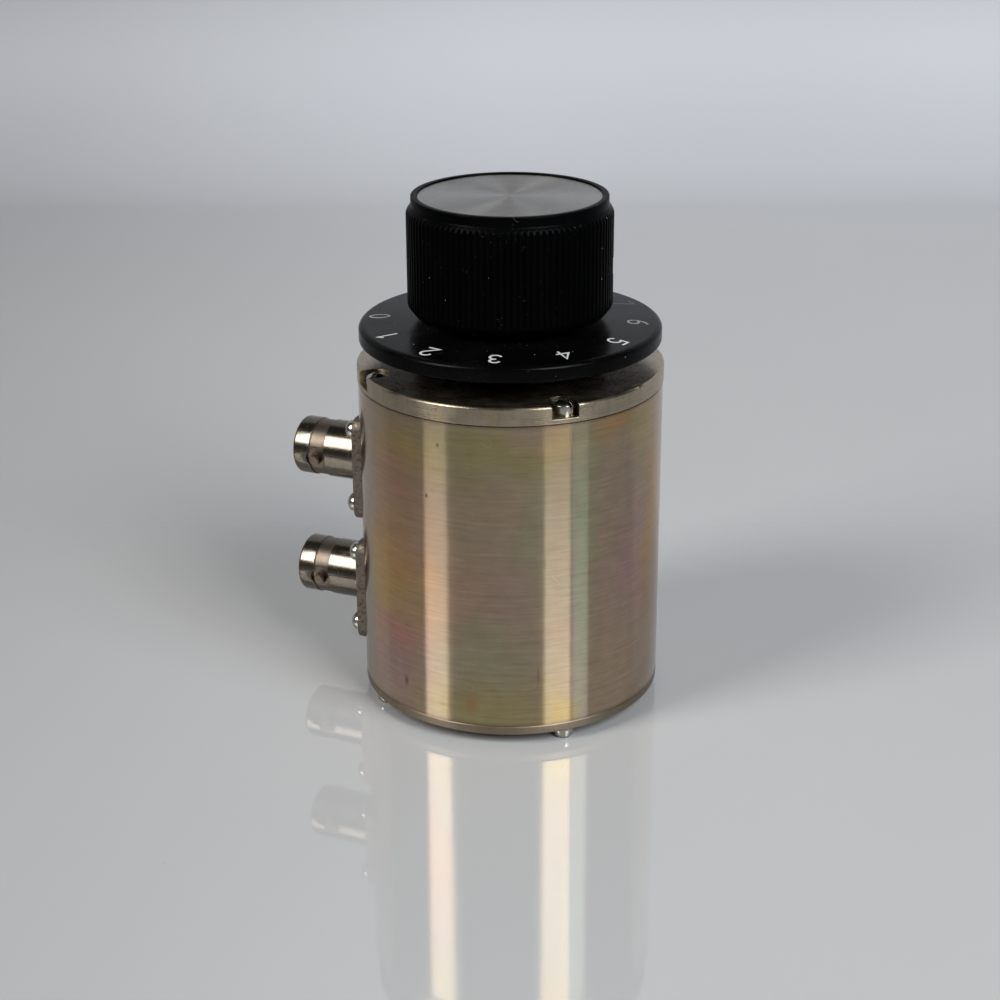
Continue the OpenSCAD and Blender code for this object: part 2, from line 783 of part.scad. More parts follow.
// A round wire along a path of points: one ring at each point, square to the path there.
// The rings are squared up against bend_axis, or against the can's own circle without one.
module wire(path, r, bend_axis = undef) {
    n = len(path);
    rings = [
        for (i = [0:n - 1])
            let (along = unit(path[min(i + 1, n - 1)] - path[max(i - 1, 0)]),
                 guide = is_undef(bend_axis) ? unit([-path[i][1], path[i][0], 0]) : bend_axis,
                 side = unit(cross(along, guide)), up = cross(along, side))
                [for (k = [0:wire_sides - 1])
                    path[i] + r * (side * cos(k * 360 / wire_sides) + up * sin(k * 360 / wire_sides))]
    ];
    points = [for (ring = rings) each ring];
    walls = [
        for (i = [0:n - 2], k = [0:wire_sides - 1], half = [0, 1])
            let (a = i * wire_sides + k, b = i * wire_sides + (k + 1) % wire_sides)
                half == 0 ? [a, a + wire_sides, b + wire_sides] : [a, b + wire_sides, b]
    ];
    first = [for (k = [0:wire_sides - 1]) k];
    last = [for (k = [wire_sides - 1:-1:0]) (n - 1) * wire_sides + k];
    polyhedron(points, concat(walls, [first, last]));
}

module coil_winding() {
    color([0.72, 0.36, 0.16])
    wire(winding_path(), wire_r);
}

module coil_pad() {
    color([0.85, 0.83, 0.76])
    difference() {
        tube_z_span(core_ro - 0.6, tube_z, winding_bottom);
        tube_z_span(coil_screw_r + 0.1, tube_z - 1, winding_bottom + 1);
    }
}

module coil_clamp() {
    color([0.85, 0.83, 0.76])
    difference() {
        tube_z_span(coil_mid_r, winding_top, winding_top + clamp_t);
        tube_z_span(coil_screw_r + 0.1, winding_top - 1, winding_top + clamp_t + 1);
    }
}

module coil_screw() {
    head_r = 2.8;
    head_h = 1.8;
    shank_len = winding_top + clamp_t - base_z - 0.2;
    color([0.9, 0.88, 0.82])
    translate([0, 0, winding_top + clamp_t])
        slotted_screw(head_r, head_h, 0.9, coil_screw_r, shank_len, 0.7, 0.9);
}

// A point at a given azimuth, radius and height.
function polar(azimuth, r, z) = [r * sin(azimuth), -r * cos(azimuth), z];

// Each tap leaves its clip's eye, bows out along the wall and meets the coil's outer face.
module tap_wires() {
    tap_r = 0.3;
    eye_r = clip_r[1] - 1;
    eye_z = wafer_z + wafer_t;
    coil_face_r = coil_mid_r + winding_half_w + 0.1;
    color([0.7, 0.35, 0.15])
    for (i = tap_clips) {
        clip_azimuth = clip_azimuths[i];
        from_middle = (i > common_clip ? i - clip_count : i) - middle_clip;
        coil_azimuth = coil_start + coil_span / 2 + from_middle * index_step * 0.98;
        start = clip_azimuths[middle_clip] + from_middle * index_step;
        drift = (coil_azimuth - start) / 5;
        wire([polar(start, eye_r, eye_z + 0.9), polar(start, eye_r, eye_z - 0.6),
              polar(start + drift, eye_r + 1.1, eye_z - 4),
              polar(start + 2 * drift, eye_r + 1.5, eye_z - 10),
              polar(start + 3 * drift, eye_r + 1, eye_z - 16),
              polar(start + 4 * drift, coil_face_r + 1.1, tap_end_z + 6.5),
              polar(coil_azimuth, coil_face_r + 0.15, tap_end_z + 2.5),
              polar(coil_azimuth, coil_face_r, tap_end_z)],
             tap_r);
    }
}

module jack_lead_upper() {
    eye = polar(clip_azimuths[common_clip], clip_r[1] - 1, wafer_z + wafer_t);
    tail = [-contact_x[0], 0, jack_high_z];
    color([0.85, 0.83, 0.8])
    wire([tail + [-1.6, 0, 0], tail, tail + [1.1, 0.7, 0.8], tail + [1.3, 2.2, 2.4],
          eye + [0.1, -0.2, -1.6], eye + [0, 0, 0.9]], lead_r);
}

module jack_lead_lower() {
    tail = [-contact_x[0], 0, jack_low_z];
    coil_end = winding_path()[0];
    color([0.85, 0.83, 0.8])
    wire([tail + [-1.6, 0, 0], tail, tail + [1, -1, 0.7], tail + [1.5, -3, 1.4],
          coil_end + [-1.3, 0.4, 1], coil_end + [-0.4, -0.1, 0.1]], lead_r);
}

capacitor_r = 3.4;
capacitor_t = 2;
capacitor_azimuth = -67;
capacitor_at = polar(capacitor_azimuth, 16.3, 9.2);
capacitor_lead_gap = 1.8;

module shunt_capacitor() {
    rim = 0.5;
    half_t = capacitor_t / 2;
    color([0.75, 0.42, 0.16])
    translate(capacitor_at) rotate([0, 0, capacitor_azimuth]) rotate([90, 0, 0])
        rotate_extrude()
            polygon([[0, -half_t], [capacitor_r - rim, -half_t], [capacitor_r, rim - half_t],
                     [capacitor_r, half_t - rim], [capacitor_r - rim, half_t], [0, half_t]]);
}

module capacitor_leads() {
    lead_wire_r = 0.3;
    along = [cos(capacitor_azimuth), sin(capacitor_azimuth), 0];
    outward = [sin(capacitor_azimuth), -cos(capacitor_azimuth), 0];
    foot = capacitor_at + [0, 0, capacitor_r - 0.9];
    post_top = [ground_xy[0], ground_xy[1], ground_top];
    color([0.85, 0.83, 0.8]) {
        wire([foot - along * capacitor_lead_gap, foot - along * capacitor_lead_gap + [0, 0, 1.1],
              [-contact_x[0] - 0.8, -2.6, jack_low_z - 0.9], [-contact_x[0] - 0.9, -1.2, jack_low_z - 0.1]],
             lead_wire_r, outward);
        wire([foot + along * capacitor_lead_gap, foot + along * capacitor_lead_gap + [0, 0, 1.1],
              (foot + along * capacitor_lead_gap + post_top) / 2 + [0, 0, 2], post_top + [-0.3, 0.7, 0.9],
              post_top + [0, 0, -0.7]],
             lead_wire_r, outward);
    }
}

ground_top = 11.2;

module ground_post() {
    neck = 0.35;
    color([0.78, 0.62, 0.28])
    translate([ground_xy[0], ground_xy[1], 0]) difference() {
        union() {
            tube_z_span(ground_stud_r, base_z, tube_z);
            tube_z_span(ground_stud_r + 0.5, tube_z, ground_top - 2.2);
            tube_z_span(ground_stud_r + 0.5 - neck, ground_top - 2.3, ground_top - 1.2);
            tube_z_span(ground_stud_r + 0.5, ground_top - 1.3, ground_top);
        }
        tube_z_span(0.45, ground_top - 1.6, ground_top + 1);
    }
}

can_tube();
top_plate();
base_plate();
top_screws();
foot_screws();
jack_shell_upper();
jack_shell_lower();
jack_insulator_upper();
jack_insulator_lower();
jack_contact_upper();
jack_contact_lower();
jack_screws_upper();
jack_screws_lower();
knob_grip();
knob_disc();
dial_skirt();
hub_bush();
set_screws();
switch_bush();
bush_nut();
bush_washer();
index_plate();
detent_spring();
spring_posts();
star_wheel();
shaft();
shaft_clip();
stator_wafer();
stator_clips();
clip_rivets();
rotor_disc();
rotor_contact();
wafer_spacers();
tie_rods();
tie_nuts();
coil_core();
coil_winding();
coil_pad();
coil_clamp();
coil_screw();
tap_wires();
jack_lead_upper();
jack_lead_lower();
shunt_capacitor();
capacitor_leads();
ground_post();
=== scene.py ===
"""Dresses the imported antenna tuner, builds its fine shapes and stands it on a pale studio floor.

The tuner's frame has z = 0 under the foot screws, its can along +Z and its jacks along -X. Azimuths
are in degrees from -Y towards +X. Sizes are in millimetres, apart from the studio's, which are in metres.
"""

import logging
import math
from dataclasses import dataclass, field
from enum import Enum

import bmesh
import bpy
from mathutils import Matrix, Vector


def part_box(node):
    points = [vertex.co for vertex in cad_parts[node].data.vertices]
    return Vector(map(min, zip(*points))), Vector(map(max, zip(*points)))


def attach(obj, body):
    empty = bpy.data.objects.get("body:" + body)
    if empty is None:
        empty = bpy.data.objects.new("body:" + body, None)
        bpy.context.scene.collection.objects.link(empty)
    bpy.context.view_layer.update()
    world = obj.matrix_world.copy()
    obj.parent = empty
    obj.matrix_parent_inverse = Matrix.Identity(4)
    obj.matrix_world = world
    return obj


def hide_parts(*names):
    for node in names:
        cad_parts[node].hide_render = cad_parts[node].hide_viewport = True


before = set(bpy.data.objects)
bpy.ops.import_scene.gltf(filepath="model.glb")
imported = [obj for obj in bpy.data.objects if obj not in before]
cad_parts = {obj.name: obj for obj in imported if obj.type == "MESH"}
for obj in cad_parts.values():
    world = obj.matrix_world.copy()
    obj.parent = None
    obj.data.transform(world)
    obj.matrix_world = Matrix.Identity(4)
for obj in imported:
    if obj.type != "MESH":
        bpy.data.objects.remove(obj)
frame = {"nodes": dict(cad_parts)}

LOG = logging.getLogger("tuner")
MM = 0.001
QUARTER_TURN = 0.25
SHARP_ANGLE = 40.0

Colour = tuple[float, float, float]
Point = tuple[float, float]


def direction(azimuth: float) -> Vector:
    """The level unit vector that points at an azimuth.

    Args:
        azimuth: Degrees from -Y towards +X.

    Returns:
        The unit vector.
    """
    angle = math.radians(azimuth)
    return Vector((math.sin(angle), -math.cos(angle), 0.0))


# ---- Shader values ----


class Socket:
    """A shader value that can be used in sums."""

    def __init__(self, graph: "Graph", out: bpy.types.NodeSocket) -> None:
        """Wraps one output.

        Args:
            graph: The graph that the output belongs to.
            out: The output socket.
        """
        self.graph = graph
        self.out = out

    def __add__(self, other: "Value") -> "Socket":
        """self + other."""
        return self.graph.combine("ADD", self, other)

    def __radd__(self, other: "Value") -> "Socket":
        """other + self."""
        return self.graph.combine("ADD", other, self)

    def __sub__(self, other: "Value") -> "Socket":
        """self - other."""
        return self.graph.combine("SUBTRACT", self, other)

    def __rsub__(self, other: "Value") -> "Socket":
        """other - self."""
        return self.graph.combine("SUBTRACT", other, self)

    def __mul__(self, other: "Value") -> "Socket":
        """self * other."""
        return self.graph.combine("MULTIPLY", self, other)

    def __rmul__(self, other: "Value") -> "Socket":
        """other * self."""
        return self.graph.combine("MULTIPLY", other, self)

    def __neg__(self) -> "Socket":
        """The value with its sign changed."""
        return self * -1.0


Value = Socket | float | Colour


class Graph:
    """One procedural material while it is being wired."""

    def __init__(self, name: str) -> None:
        """Starts an empty material.

        Args:
            name: The material's name.
        """
        self.material = bpy.data.materials.new(name)
        self.material.use_nodes = True
        self.tree = self.material.node_tree
        self.tree.nodes.clear()

    def node(
        self, kind: str, settings: dict | None = None, inputs: dict | None = None
    ) -> bpy.types.Node:
        """Adds a node.

        Args:
            kind: The node's type name.
            settings: Properties, set before the inputs.
            inputs: Values by input name or index.

        Returns:
            The node.
        """
        made = self.tree.nodes.new(kind)
        for key, value in (settings or {}).items():
            setattr(made, key, value)
        for key, value in (inputs or {}).items():
            target = made.inputs[key]
            if isinstance(value, Socket):
                self.tree.links.new(value.out, target)
            elif isinstance(value, tuple) and target.type == "RGBA":
                target.default_value = (*value, 1.0)
            else:
                target.default_value = value
        return made

    def combine(self, operation: str, first: Value, second: Value) -> Socket:
        """Joins two values with one arithmetic operation.

        Args:
            operation: The Math or Vector Math operation.
            first: The left value.
            second: The right value.

        Returns:
            The result, a scalar only if both values are.
        """
        if self._scalar(first) and self._scalar(second):
            return self.math(operation, first, second)
        pair = [(v, v, v) if isinstance(v, (int, float)) else v for v in (first, second)]
        made = self.node("ShaderNodeVectorMath", {"operation": operation}, {0: pair[0], 1: pair[1]})
        return Socket(self, made.outputs["Vector"])

    @staticmethod
    def _scalar(value: Value) -> bool:
        """Whether a value is a single number.

        Args:
            value: A socket, a number or a colour.

        Returns:
            True for a number or a number's socket.
        """
        if isinstance(value, Socket):
            return value.out.type == "VALUE"
        return isinstance(value, (int, float))

    def math(self, operation: str, first: Value, second: Value = 0.0) -> Socket:
        """One Math node.

        Args:
            operation: The Math operation.
            first: The first number.
            second: The second number, where the operation takes one.

        Returns:
            The result.
        """
        made = self.node("ShaderNodeMath", {"operation": operation}, {0: first, 1: second})
        return Socket(self, made.outputs[0])

    def mix(self, share: Value, first: Value, second: Value) -> Socket:
        """A colour between two others.

        Args:
            share: 0 for the first colour and 1 for the second.
            first: The first colour.
            second: The second colour.

        Returns:
            The colour.
        """
        settings = {"data_type": "RGBA", "clamp_factor": True}
        made = self.node("ShaderNodeMix", settings, {0: share, 6: first, 7: second})
        return Socket(self, made.outputs[2])

    def ramp(self, value: Value, stops: list[tuple[float, Colour]]) -> Socket:
        """A colour read off a ramp.

        Args:
            value: Where to read, from 0 to 1.
            stops: Places on the ramp and their colours, in order.

        Returns:
            The colour.
        """
        made = self.node("ShaderNodeValToRGB", {}, {0: value})
        elements = made.color_ramp.elements
        while len(elements) < len(stops):
            elements.new(0.5)
        for element, (place, colour) in zip(elements, stops):
            element.position = place
            element.color = (*colour, 1.0)
        return Socket(self, made.outputs["Color"])

    def step(self, value: Value, low: float, high: float) -> Socket:
        """A smooth step, which falls instead of rising if low is above high.

        Args:
            value: The number to compare.
            low: Where the step is 0.
            high: Where the step is 1.

        Returns:
            A number from 0 to 1.
        """
        falls = low > high
        inputs = {0: value, 1: min(low, high), 2: max(low, high), 3: float(falls), 4: float(not falls)}
        made = self.node("ShaderNodeMapRange", {"interpolation_type": "SMOOTHSTEP"}, inputs)
        return Socket(self, made.outputs[0])

    def place(self) -> Socket:
        """The point in the tuner's frame, in millimetres."""
        made = self.node("ShaderNodeTexCoord")
        return Socket(self, made.outputs["Object"]) * (1 / MM)

    def split(self, vector: Socket) -> tuple[Socket, Socket, Socket]:
        """The three parts of a vector."""
        made = self.node("ShaderNodeSeparateXYZ", {}, {0: vector})
        return tuple(Socket(self, made.outputs[i]) for i in range(3))

    def join(self, x: Value, y: Value, z: Value) -> Socket:
        """A vector from its three parts."""
        return Socket(self, self.node("ShaderNodeCombineXYZ", {}, {0: x, 1: y, 2: z}).outputs[0])

    def noise(
        self, vector: Socket, scale: float, detail: float = 3.0, rough: float = 0.5
    ) -> Socket:
        """Fractal noise.

        Args:
            vector: Where to read it.
            scale: Cells per millimetre.
            detail: The number of octaves.
            rough: How strong each finer octave is.

        Returns:
            A number around 0.5.
        """
        inputs = {"Vector": vector, "Scale": scale, "Detail": detail, "Roughness": rough}
        return Socket(self, self.node("ShaderNodeTexNoise", {}, inputs).outputs["Fac"])

    def specks(self, vector: Socket, scale: float, size: float, share: float) -> Socket:
        """Scattered round specks.

        Args:
            vector: Where to read them.
            scale: Cells per millimetre, each with at most one speck.
            size: The largest speck's radius as a share of a cell.
            share: The share of cells that hold a speck.

        Returns:
            1 in a speck and 0 elsewhere.
        """
        made = self.node("ShaderNodeTexVoronoi", {}, {"Vector": vector, "Scale": scale})
        luck, spread, _ = self.split(Socket(self, made.outputs["Color"]))
        radius = self.step(luck, 1.0 - share, 1.0) * (0.35 + 0.65 * spread) * size
        depth = radius - Socket(self, made.outputs["Distance"])
        return self.step(depth, 0.0, 0.25 * size)

    def hairlines(self, vector: Socket, scale: float, width: float, cover: float) -> Socket:
        """Fine wandering scratches.

        Args:
            vector: Where to read them.
            scale: Cells of the guiding noise per millimetre.
            width: The share of the noise's span that one scratch takes.
            cover: The level of the masking noise above which scratches show.

        Returns:
            1 on a scratch and 0 elsewhere.
        """
        across = self.math("ABSOLUTE", self.noise(vector, scale, 1.0) - 0.5)
        elsewhere = vector + (9.0, 4.0, 2.0)
        mask = self.step(self.noise(elsewhere, scale * 1.7, 2.0), cover, cover + 0.08)
        return self.step(across, width, 0.0) * mask

    def bump(self, height: Socket, depth: float, strength: float = 1.0) -> Socket:
        """A normal tilted by a height.

        Args:
            height: The height, about 0 to 1.
            depth: What a height of 1 stands for, in millimetres.
            strength: How much of the tilt is used.

        Returns:
            The normal.
        """
        inputs = {"Strength": strength, "Distance": depth * MM, "Height": height}
        return Socket(self, self.node("ShaderNodeBump", {}, inputs).outputs["Normal"])

    def finish(self, **inputs: Value) -> bpy.types.Material:
        """Wires the surface and closes the graph.

        Args:
            inputs: Values by the surface's input names, with underscores for spaces.

        Returns:
            The material.
        """
        named = {key.replace("_", " "): value for key, value in inputs.items()}
        surface = self.node("ShaderNodeBsdfPrincipled", {}, named)
        output = self.node("ShaderNodeOutputMaterial")
        self.tree.links.new(surface.outputs[0], output.inputs["Surface"])
        return self.material


# ---- Finishes ----


@dataclass(frozen=True)
class Finish:
    """A plain worn surface: mottled colour, fine grain and a few hairlines."""

    name: str
    colour: Colour
    metallic: float = 1.0
    roughness: float = 0.35
    mottle: float = 0.12
    grain: float = 6.0
    depth: float = 0.004
    scratched: float = 0.1
    coat: float = 0.0

    def material(self) -> bpy.types.Material:
        """Builds the finish.

        Returns:
            The material.
        """
        g = Graph(self.name)
        at = g.place()
        broad = g.noise(at, 0.25, 4.0)
        fine = g.noise(at, self.grain, 3.0)
        lines = g.hairlines(at, 0.4, 0.006, 0.55) * self.scratched
        tone = (1.0 - self.mottle / 2) + (broad - 0.5) * (2 * self.mottle)
        tone = tone + (fine - 0.5) * self.mottle + lines
        rough = self.roughness + (broad - 0.5) * 0.18 + (fine - 0.5) * 0.1 + lines
        return g.finish(
            Base_Color=g.mix(1.0, (0.0, 0.0, 0.0), tone * self.colour),
            Metallic=self.metallic,
            Roughness=rough,
            Coat_Weight=self.coat,
            Normal=g.bump(fine - lines * 2.0, self.depth),
        )


@dataclass(frozen=True)
class Patch:
    """A soft patch of colour on the can's wall."""

    azimuth: float
    height: float
    width: float
    rise: float
    colour: Colour
    share: float = 0.8


class Film(Enum):
    """Colours that the passivated wall takes as its film gets thicker or thinner."""

    BROWN = (0.43, 0.345, 0.245)
    OLIVE = (0.43, 0.365, 0.165)
    GOLD = (0.55, 0.385, 0.125)
    ORANGE = (0.56, 0.335, 0.145)
    ROSE = (0.52, 0.310, 0.215)
    MAGENTA = (0.56, 0.27, 0.215)
    VIOLET = (0.46, 0.30, 0.275)
    GREEN = (0.375, 0.385, 0.235)
    GREY = (0.42, 0.375, 0.285)


@dataclass(frozen=True)
class Chromate(Finish):
    """Turned wall with a yellow passivated film that drifts through several colours."""

    front_azimuth: float = 23.0
    wander_azimuth: float = 24.0
    wander_height: float = 14.0
    anisotropy: float = 0.93
    seam_grime: float = 0.7
    patches: tuple[Patch, ...] = (
        Patch(-24, 41, 14, 7, Film.ROSE.value, 0.95),
        Patch(-26, 28, 18, 8, Film.ORANGE.value, 1.0),
        Patch(-34, 22, 12, 5, Film.GOLD.value, 0.8),
        Patch(-25, 16, 13, 3.8, Film.MAGENTA.value, 1.0),
        Patch(-25, 10, 14, 5, Film.VIOLET.value, 0.95),
        Patch(-22, 48, 12, 4, Film.GOLD.value, 0.7),
        Patch(-14, 30, 12, 8, Film.ROSE.value, 0.4),
        Patch(40, 50.5, 9, 2.2, Film.ORANGE.value, 0.45),
        Patch(18, 48.5, 28, 3.6, Film.OLIVE.value, 0.85),
        Patch(32, 36, 7, 9, Film.GREEN.value, 0.55),
        Patch(6, 24, 12, 5, Film.ROSE.value, 0.5),
        Patch(22, 25, 8, 6, Film.VIOLET.value, 0.4),
        Patch(14, 14, 18, 5, Film.GREEN.value, 0.6),
        Patch(14, 6, 26, 4.5, Film.OLIVE.value, 0.8),
        Patch(44, 5, 8, 3, Film.GOLD.value, 0.6),
        Patch(50, 36, 5, 22, Film.GREEN.value, 0.8),
        Patch(64, 50.5, 11, 2.6, Film.ORANGE.value, 0.8),
        Patch(80, 49, 10, 4, Film.OLIVE.value, 0.8),
        Patch(75, 28, 12, 8, Film.VIOLET.value, 0.95),
        Patch(80, 22, 8, 4, Film.MAGENTA.value, 0.3),
        Patch(90, 34, 8, 15, Film.ORANGE.value, 1.0),
        Patch(99, 24, 4, 12, Film.MAGENTA.value, 0.5),
    )
    stains: tuple[Patch, ...] = (
        Patch(-20.5, 8.2, 0.9, 0.8, (0.16, 0.075, 0.03), 0.8),
        Patch(8, 7, 2.6, 1.2, (0.42, 0.22, 0.1), 0.6),
        Patch(33, 12, 0.5, 1.4, (0.2, 0.15, 0.1), 0.6),
        Patch(-9, 41, 0.45, 0.4, (0.05, 0.04, 0.03), 0.9),
        Patch(-4, 49.5, 0.5, 0.35, (0.07, 0.05, 0.03), 0.8),
    )

    def material(self) -> bpy.types.Material:
        """Builds the finish.

        Returns:
            The material.
        """
        g = Graph(self.name)
        at = g.place()
        x, y, z = g.split(at)
        azimuth = g.math("ARCTAN2", x, -y) * math.degrees(1.0)
        wobble_az = azimuth + (g.noise(at, 0.12, 3.0) - 0.5) * self.wander_azimuth
        wobble_z = z + (g.noise(at + (31.0, 7.0, 3.0), 0.12, 3.0) - 0.5) * self.wander_height
        drift = g.noise(g.join(x * 0.5, y * 0.5, z), 0.055, 2.0) * 1.6 - 0.3
        film = [Film.OLIVE, Film.GREY, Film.BROWN, Film.ROSE, Film.VIOLET, Film.BROWN, Film.GOLD]
        colour = g.ramp(drift, [(i / (len(film) - 1), shade.value) for i, shade in enumerate(film)])
        facing = g.math("COSINE", (azimuth - self.front_azimuth) * math.radians(1.0))
        front = g.step(facing, -0.1, 0.25)
        colour = g.mix(front * 0.8, colour, Film.BROWN.value)
        for patch in self.patches:
            colour = g.mix(self._spread(g, patch, wobble_az, wobble_z), colour, patch.colour)
        turns = g.join(x * 0.05, y * 0.05, z)
        coarse = g.noise(turns, 2.2, 5.0, 0.65)
        fine = g.noise(turns, 9.0, 3.0, 0.6)
        smudge = g.noise(at, 0.35, 5.0, 0.6)
        colour = colour * (0.72 + (coarse - 0.5) * 0.48 + (fine - 0.5) * 0.36 + smudge * 0.28)
        for stain in self.stains:
            colour = g.mix(self._spread(g, stain, azimuth, z), colour, stain.colour)
        pits = g.specks(at, 0.3, 0.045, 0.45)
        lines = g.hairlines(at, 0.22, 0.004, 0.56)
        bottom, top = (corner.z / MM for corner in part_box("can_tube"))
        # Dirt and painted shade: the wall is darkened in a band at its foot and in a band just under the
        # top plate's lip.
        grime_and_shade = g.step(z, bottom + self.seam_grime, bottom) + g.step(z, top - 0.55, top - 0.1)
        colour = g.mix(pits * 0.75, colour, (0.06, 0.045, 0.03))
        colour = g.mix(lines * 0.25, colour, (0.75, 0.68, 0.56))
        colour = g.mix(grime_and_shade * coarse * 0.8, colour, (0.12, 0.085, 0.05))
        return g.finish(
            Base_Color=colour,
            Metallic=self.metallic,
            Roughness=self.roughness + (coarse - 0.5) * 0.06 + (smudge - 0.5) * 0.05 + pits * 0.3,
            Anisotropic=self.anisotropy,
            Anisotropic_Rotation=QUARTER_TURN,
            Normal=g.bump(coarse * 0.6 + fine * 0.4 - pits * 2.0 - lines, self.depth),
        )

    @staticmethod
    def _spread(g: Graph, patch: Patch, azimuth: Socket, height: Socket) -> Socket:
        """How much of a patch's colour shows at a place.

        Args:
            g: The graph.
            patch: The patch.
            azimuth: The place's azimuth.
            height: The place's height.

        Returns:
            A number from 0 to the patch's share.
        """
        across = (azimuth - float(patch.azimuth)) * (1.0 / patch.width)
        along = (height - float(patch.height)) * (1.0 / patch.rise)
        return g.math("EXPONENT", -(across * across + along * along)) * patch.share


@dataclass(frozen=True)
class TurnedPlate(Finish):
    """Faced plate with fine concentric lines and brown stains, with painted shade on the base plate's
    lower edge.
    """

    stain: Colour = (0.46, 0.335, 0.18)
    soot: Colour = (0.16, 0.12, 0.08)

    def material(self) -> bpy.types.Material:
        """Builds the finish.

        Returns:
            The material.
        """
        g = Graph(self.name)
        at = g.place()
        x, y, z = g.split(at)
        radius = g.math("SQRT", x * x + y * y)
        turns = g.join(radius, z, g.math("ARCTAN2", x, y) * 0.4)
        fine = g.noise(turns, 7.0, 4.0, 0.6)
        upright = g.noise(g.join(x, y, z * 0.15), 1.1, 4.0, 0.65)
        broad = g.noise(at, 0.3, 4.0)
        stained = g.step(g.noise(g.join(x, y, z * 0.2), 0.35, 4.0), 0.56, 0.72)
        pits = g.specks(at, 0.5, 0.05, 0.5)
        tone = 0.8 + (fine - 0.5) * 0.3 + (upright - 0.5) * 0.35 + (broad - 0.5) * 0.4
        colour = g.mix(stained * 0.45, tone * self.colour, self.stain)
        colour = g.mix(pits * 0.7, colour, (0.08, 0.06, 0.045))
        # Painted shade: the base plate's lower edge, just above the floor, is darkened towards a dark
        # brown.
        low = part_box("base_plate")[0].z / MM
        under = g.step(z, low + 2.2, low + 1.5)
        colour = g.mix(under * 0.6, colour, self.soot)
        return g.finish(
            Base_Color=colour,
            Metallic=self.metallic,
            Roughness=self.roughness + (fine - 0.5) * 0.2 + (broad - 0.5) * 0.2 + under * 0.2,
            Anisotropic=0.5,
            Anisotropic_Rotation=QUARTER_TURN,
            Normal=g.bump(fine + upright * 0.4 - pits, self.depth),
        )


@dataclass(frozen=True)
class JackNickel(Finish):
    """Nickel plate: bright on the barrel, worn through in the groove and matte on the flange."""

    groove: Point = (31.8, 34.5)
    flange_face: float = 24.4
    worn: Colour = (0.17, 0.133, 0.104)
    dull: Colour = (0.2, 0.168, 0.135)
    pit: Colour = (0.09, 0.07, 0.055)

    def material(self) -> bpy.types.Material:
        """Builds the finish.

        Returns:
            The material.
        """
        g = Graph(self.name)
        at = g.place()
        x, y, z = g.split(at)
        out = -x
        edge = (g.noise(at, 1.6, 3.0) - 0.5) * 0.5
        band = g.step(out + edge, self.groove[0] - 0.15, self.groove[0] + 0.15) * g.step(
            out + edge, self.groove[1] + 0.15, self.groove[1] - 0.15
        )
        flange = g.step(out, self.flange_face + 0.15, self.flange_face)
        grit = g.noise(at, 4.5, 4.0, 0.7)
        broad = g.noise(at, 0.5, 4.0, 0.6)
        turns = g.noise(g.join(out, y * 0.08, z * 0.08), 7.0, 3.0, 0.6)
        chips = g.step(g.noise(at, 1.5, 5.0, 0.75), 0.6, 0.68)
        pits = g.step(g.noise(at, 1.8, 3.0, 0.7), 0.5, 0.4)
        lines = g.hairlines(at, 0.5, 0.006, 0.52)
        bright = (0.9 + (broad - 0.5) * 0.3 + (turns - 0.5) * 0.9) * self.colour
        colour = g.mix(band * (0.35 + grit * 0.8), bright, self.worn)
        colour = g.mix(flange * 0.9, colour, (0.2 + grit * 1.6) * self.dull)
        colour = g.mix(chips * (1.0 - flange) * 0.35, colour, self.worn)
        colour = g.mix(pits * flange * 0.8, colour, self.pit)
        rough = self.roughness + band * 0.2 + flange * 0.28 + (broad - 0.5) * 0.12
        rough = rough + chips * 0.1 + lines * 0.15
        relief = grit * (0.12 + band * 1.2 + flange * 1.6) + turns * 0.1
        relief = relief - pits * flange * 1.5 - lines * 0.3
        return g.finish(
            Base_Color=colour,
            Metallic=self.metallic,
            Roughness=rough,
            Normal=g.bump(relief, self.depth),
        )


@dataclass(frozen=True)
class SpunDisc(Finish):
    """Spun aluminium with concentric lines, a painted highlight across it along one radius and small
    dents.
    """

    streak_azimuth: float = -2.0
    streak_width: float = 0.2

    def material(self) -> bpy.types.Material:
        """Builds the finish.

        Returns:
            The material.
        """
        g = Graph(self.name)
        at = g.place()
        x, y, _ = g.split(at)
        radius = g.math("SQRT", x * x + y * y)
        rings = g.noise(g.join(radius, g.math("ARCTAN2", x, y) * 0.3, 0.0), 9.0, 4.0, 0.65)
        ridges = g.noise(g.join(radius, 0.0, 0.0), 2.4, 2.0)
        broad = g.noise(at, 0.22, 4.0)
        smear = g.noise(at, 0.9, 5.0, 0.7)
        dents = g.specks(at, 0.16, 0.07, 0.5)
        lines = g.hairlines(at, 0.15, 0.003, 0.5)
        # Painted highlight: the colour is made paler along one fixed azimuth, standing in for the lamps'
        # sheen on the spun lines.
        turn = g.math("ARCTAN2", x, -y) - math.radians(self.streak_azimuth)
        across = g.math("SINE", turn) * (1 / self.streak_width)
        painted_highlight = g.math("EXPONENT", -(across * across))
        tone = 0.82 + (rings - 0.5) * 0.22 + (broad - 0.5) * 0.35 + (smear - 0.5) * 0.16
        tone = tone + (ridges - 0.5) * 0.1 + painted_highlight * 0.14
        colour = g.mix(dents * 0.75, tone * self.colour, (0.12, 0.115, 0.11))
        return g.finish(
            Base_Color=g.mix(lines * 0.3, colour, (0.85, 0.85, 0.83)),
            Metallic=self.metallic,
            Roughness=self.roughness + (smear - 0.5) * 0.14 + (rings - 0.5) * 0.1,
            Anisotropic=0.85,
            Anisotropic_Rotation=QUARTER_TURN,
            Normal=g.bump(rings * 0.5 + ridges * 0.5 - dents * 2.0, self.depth),
        )


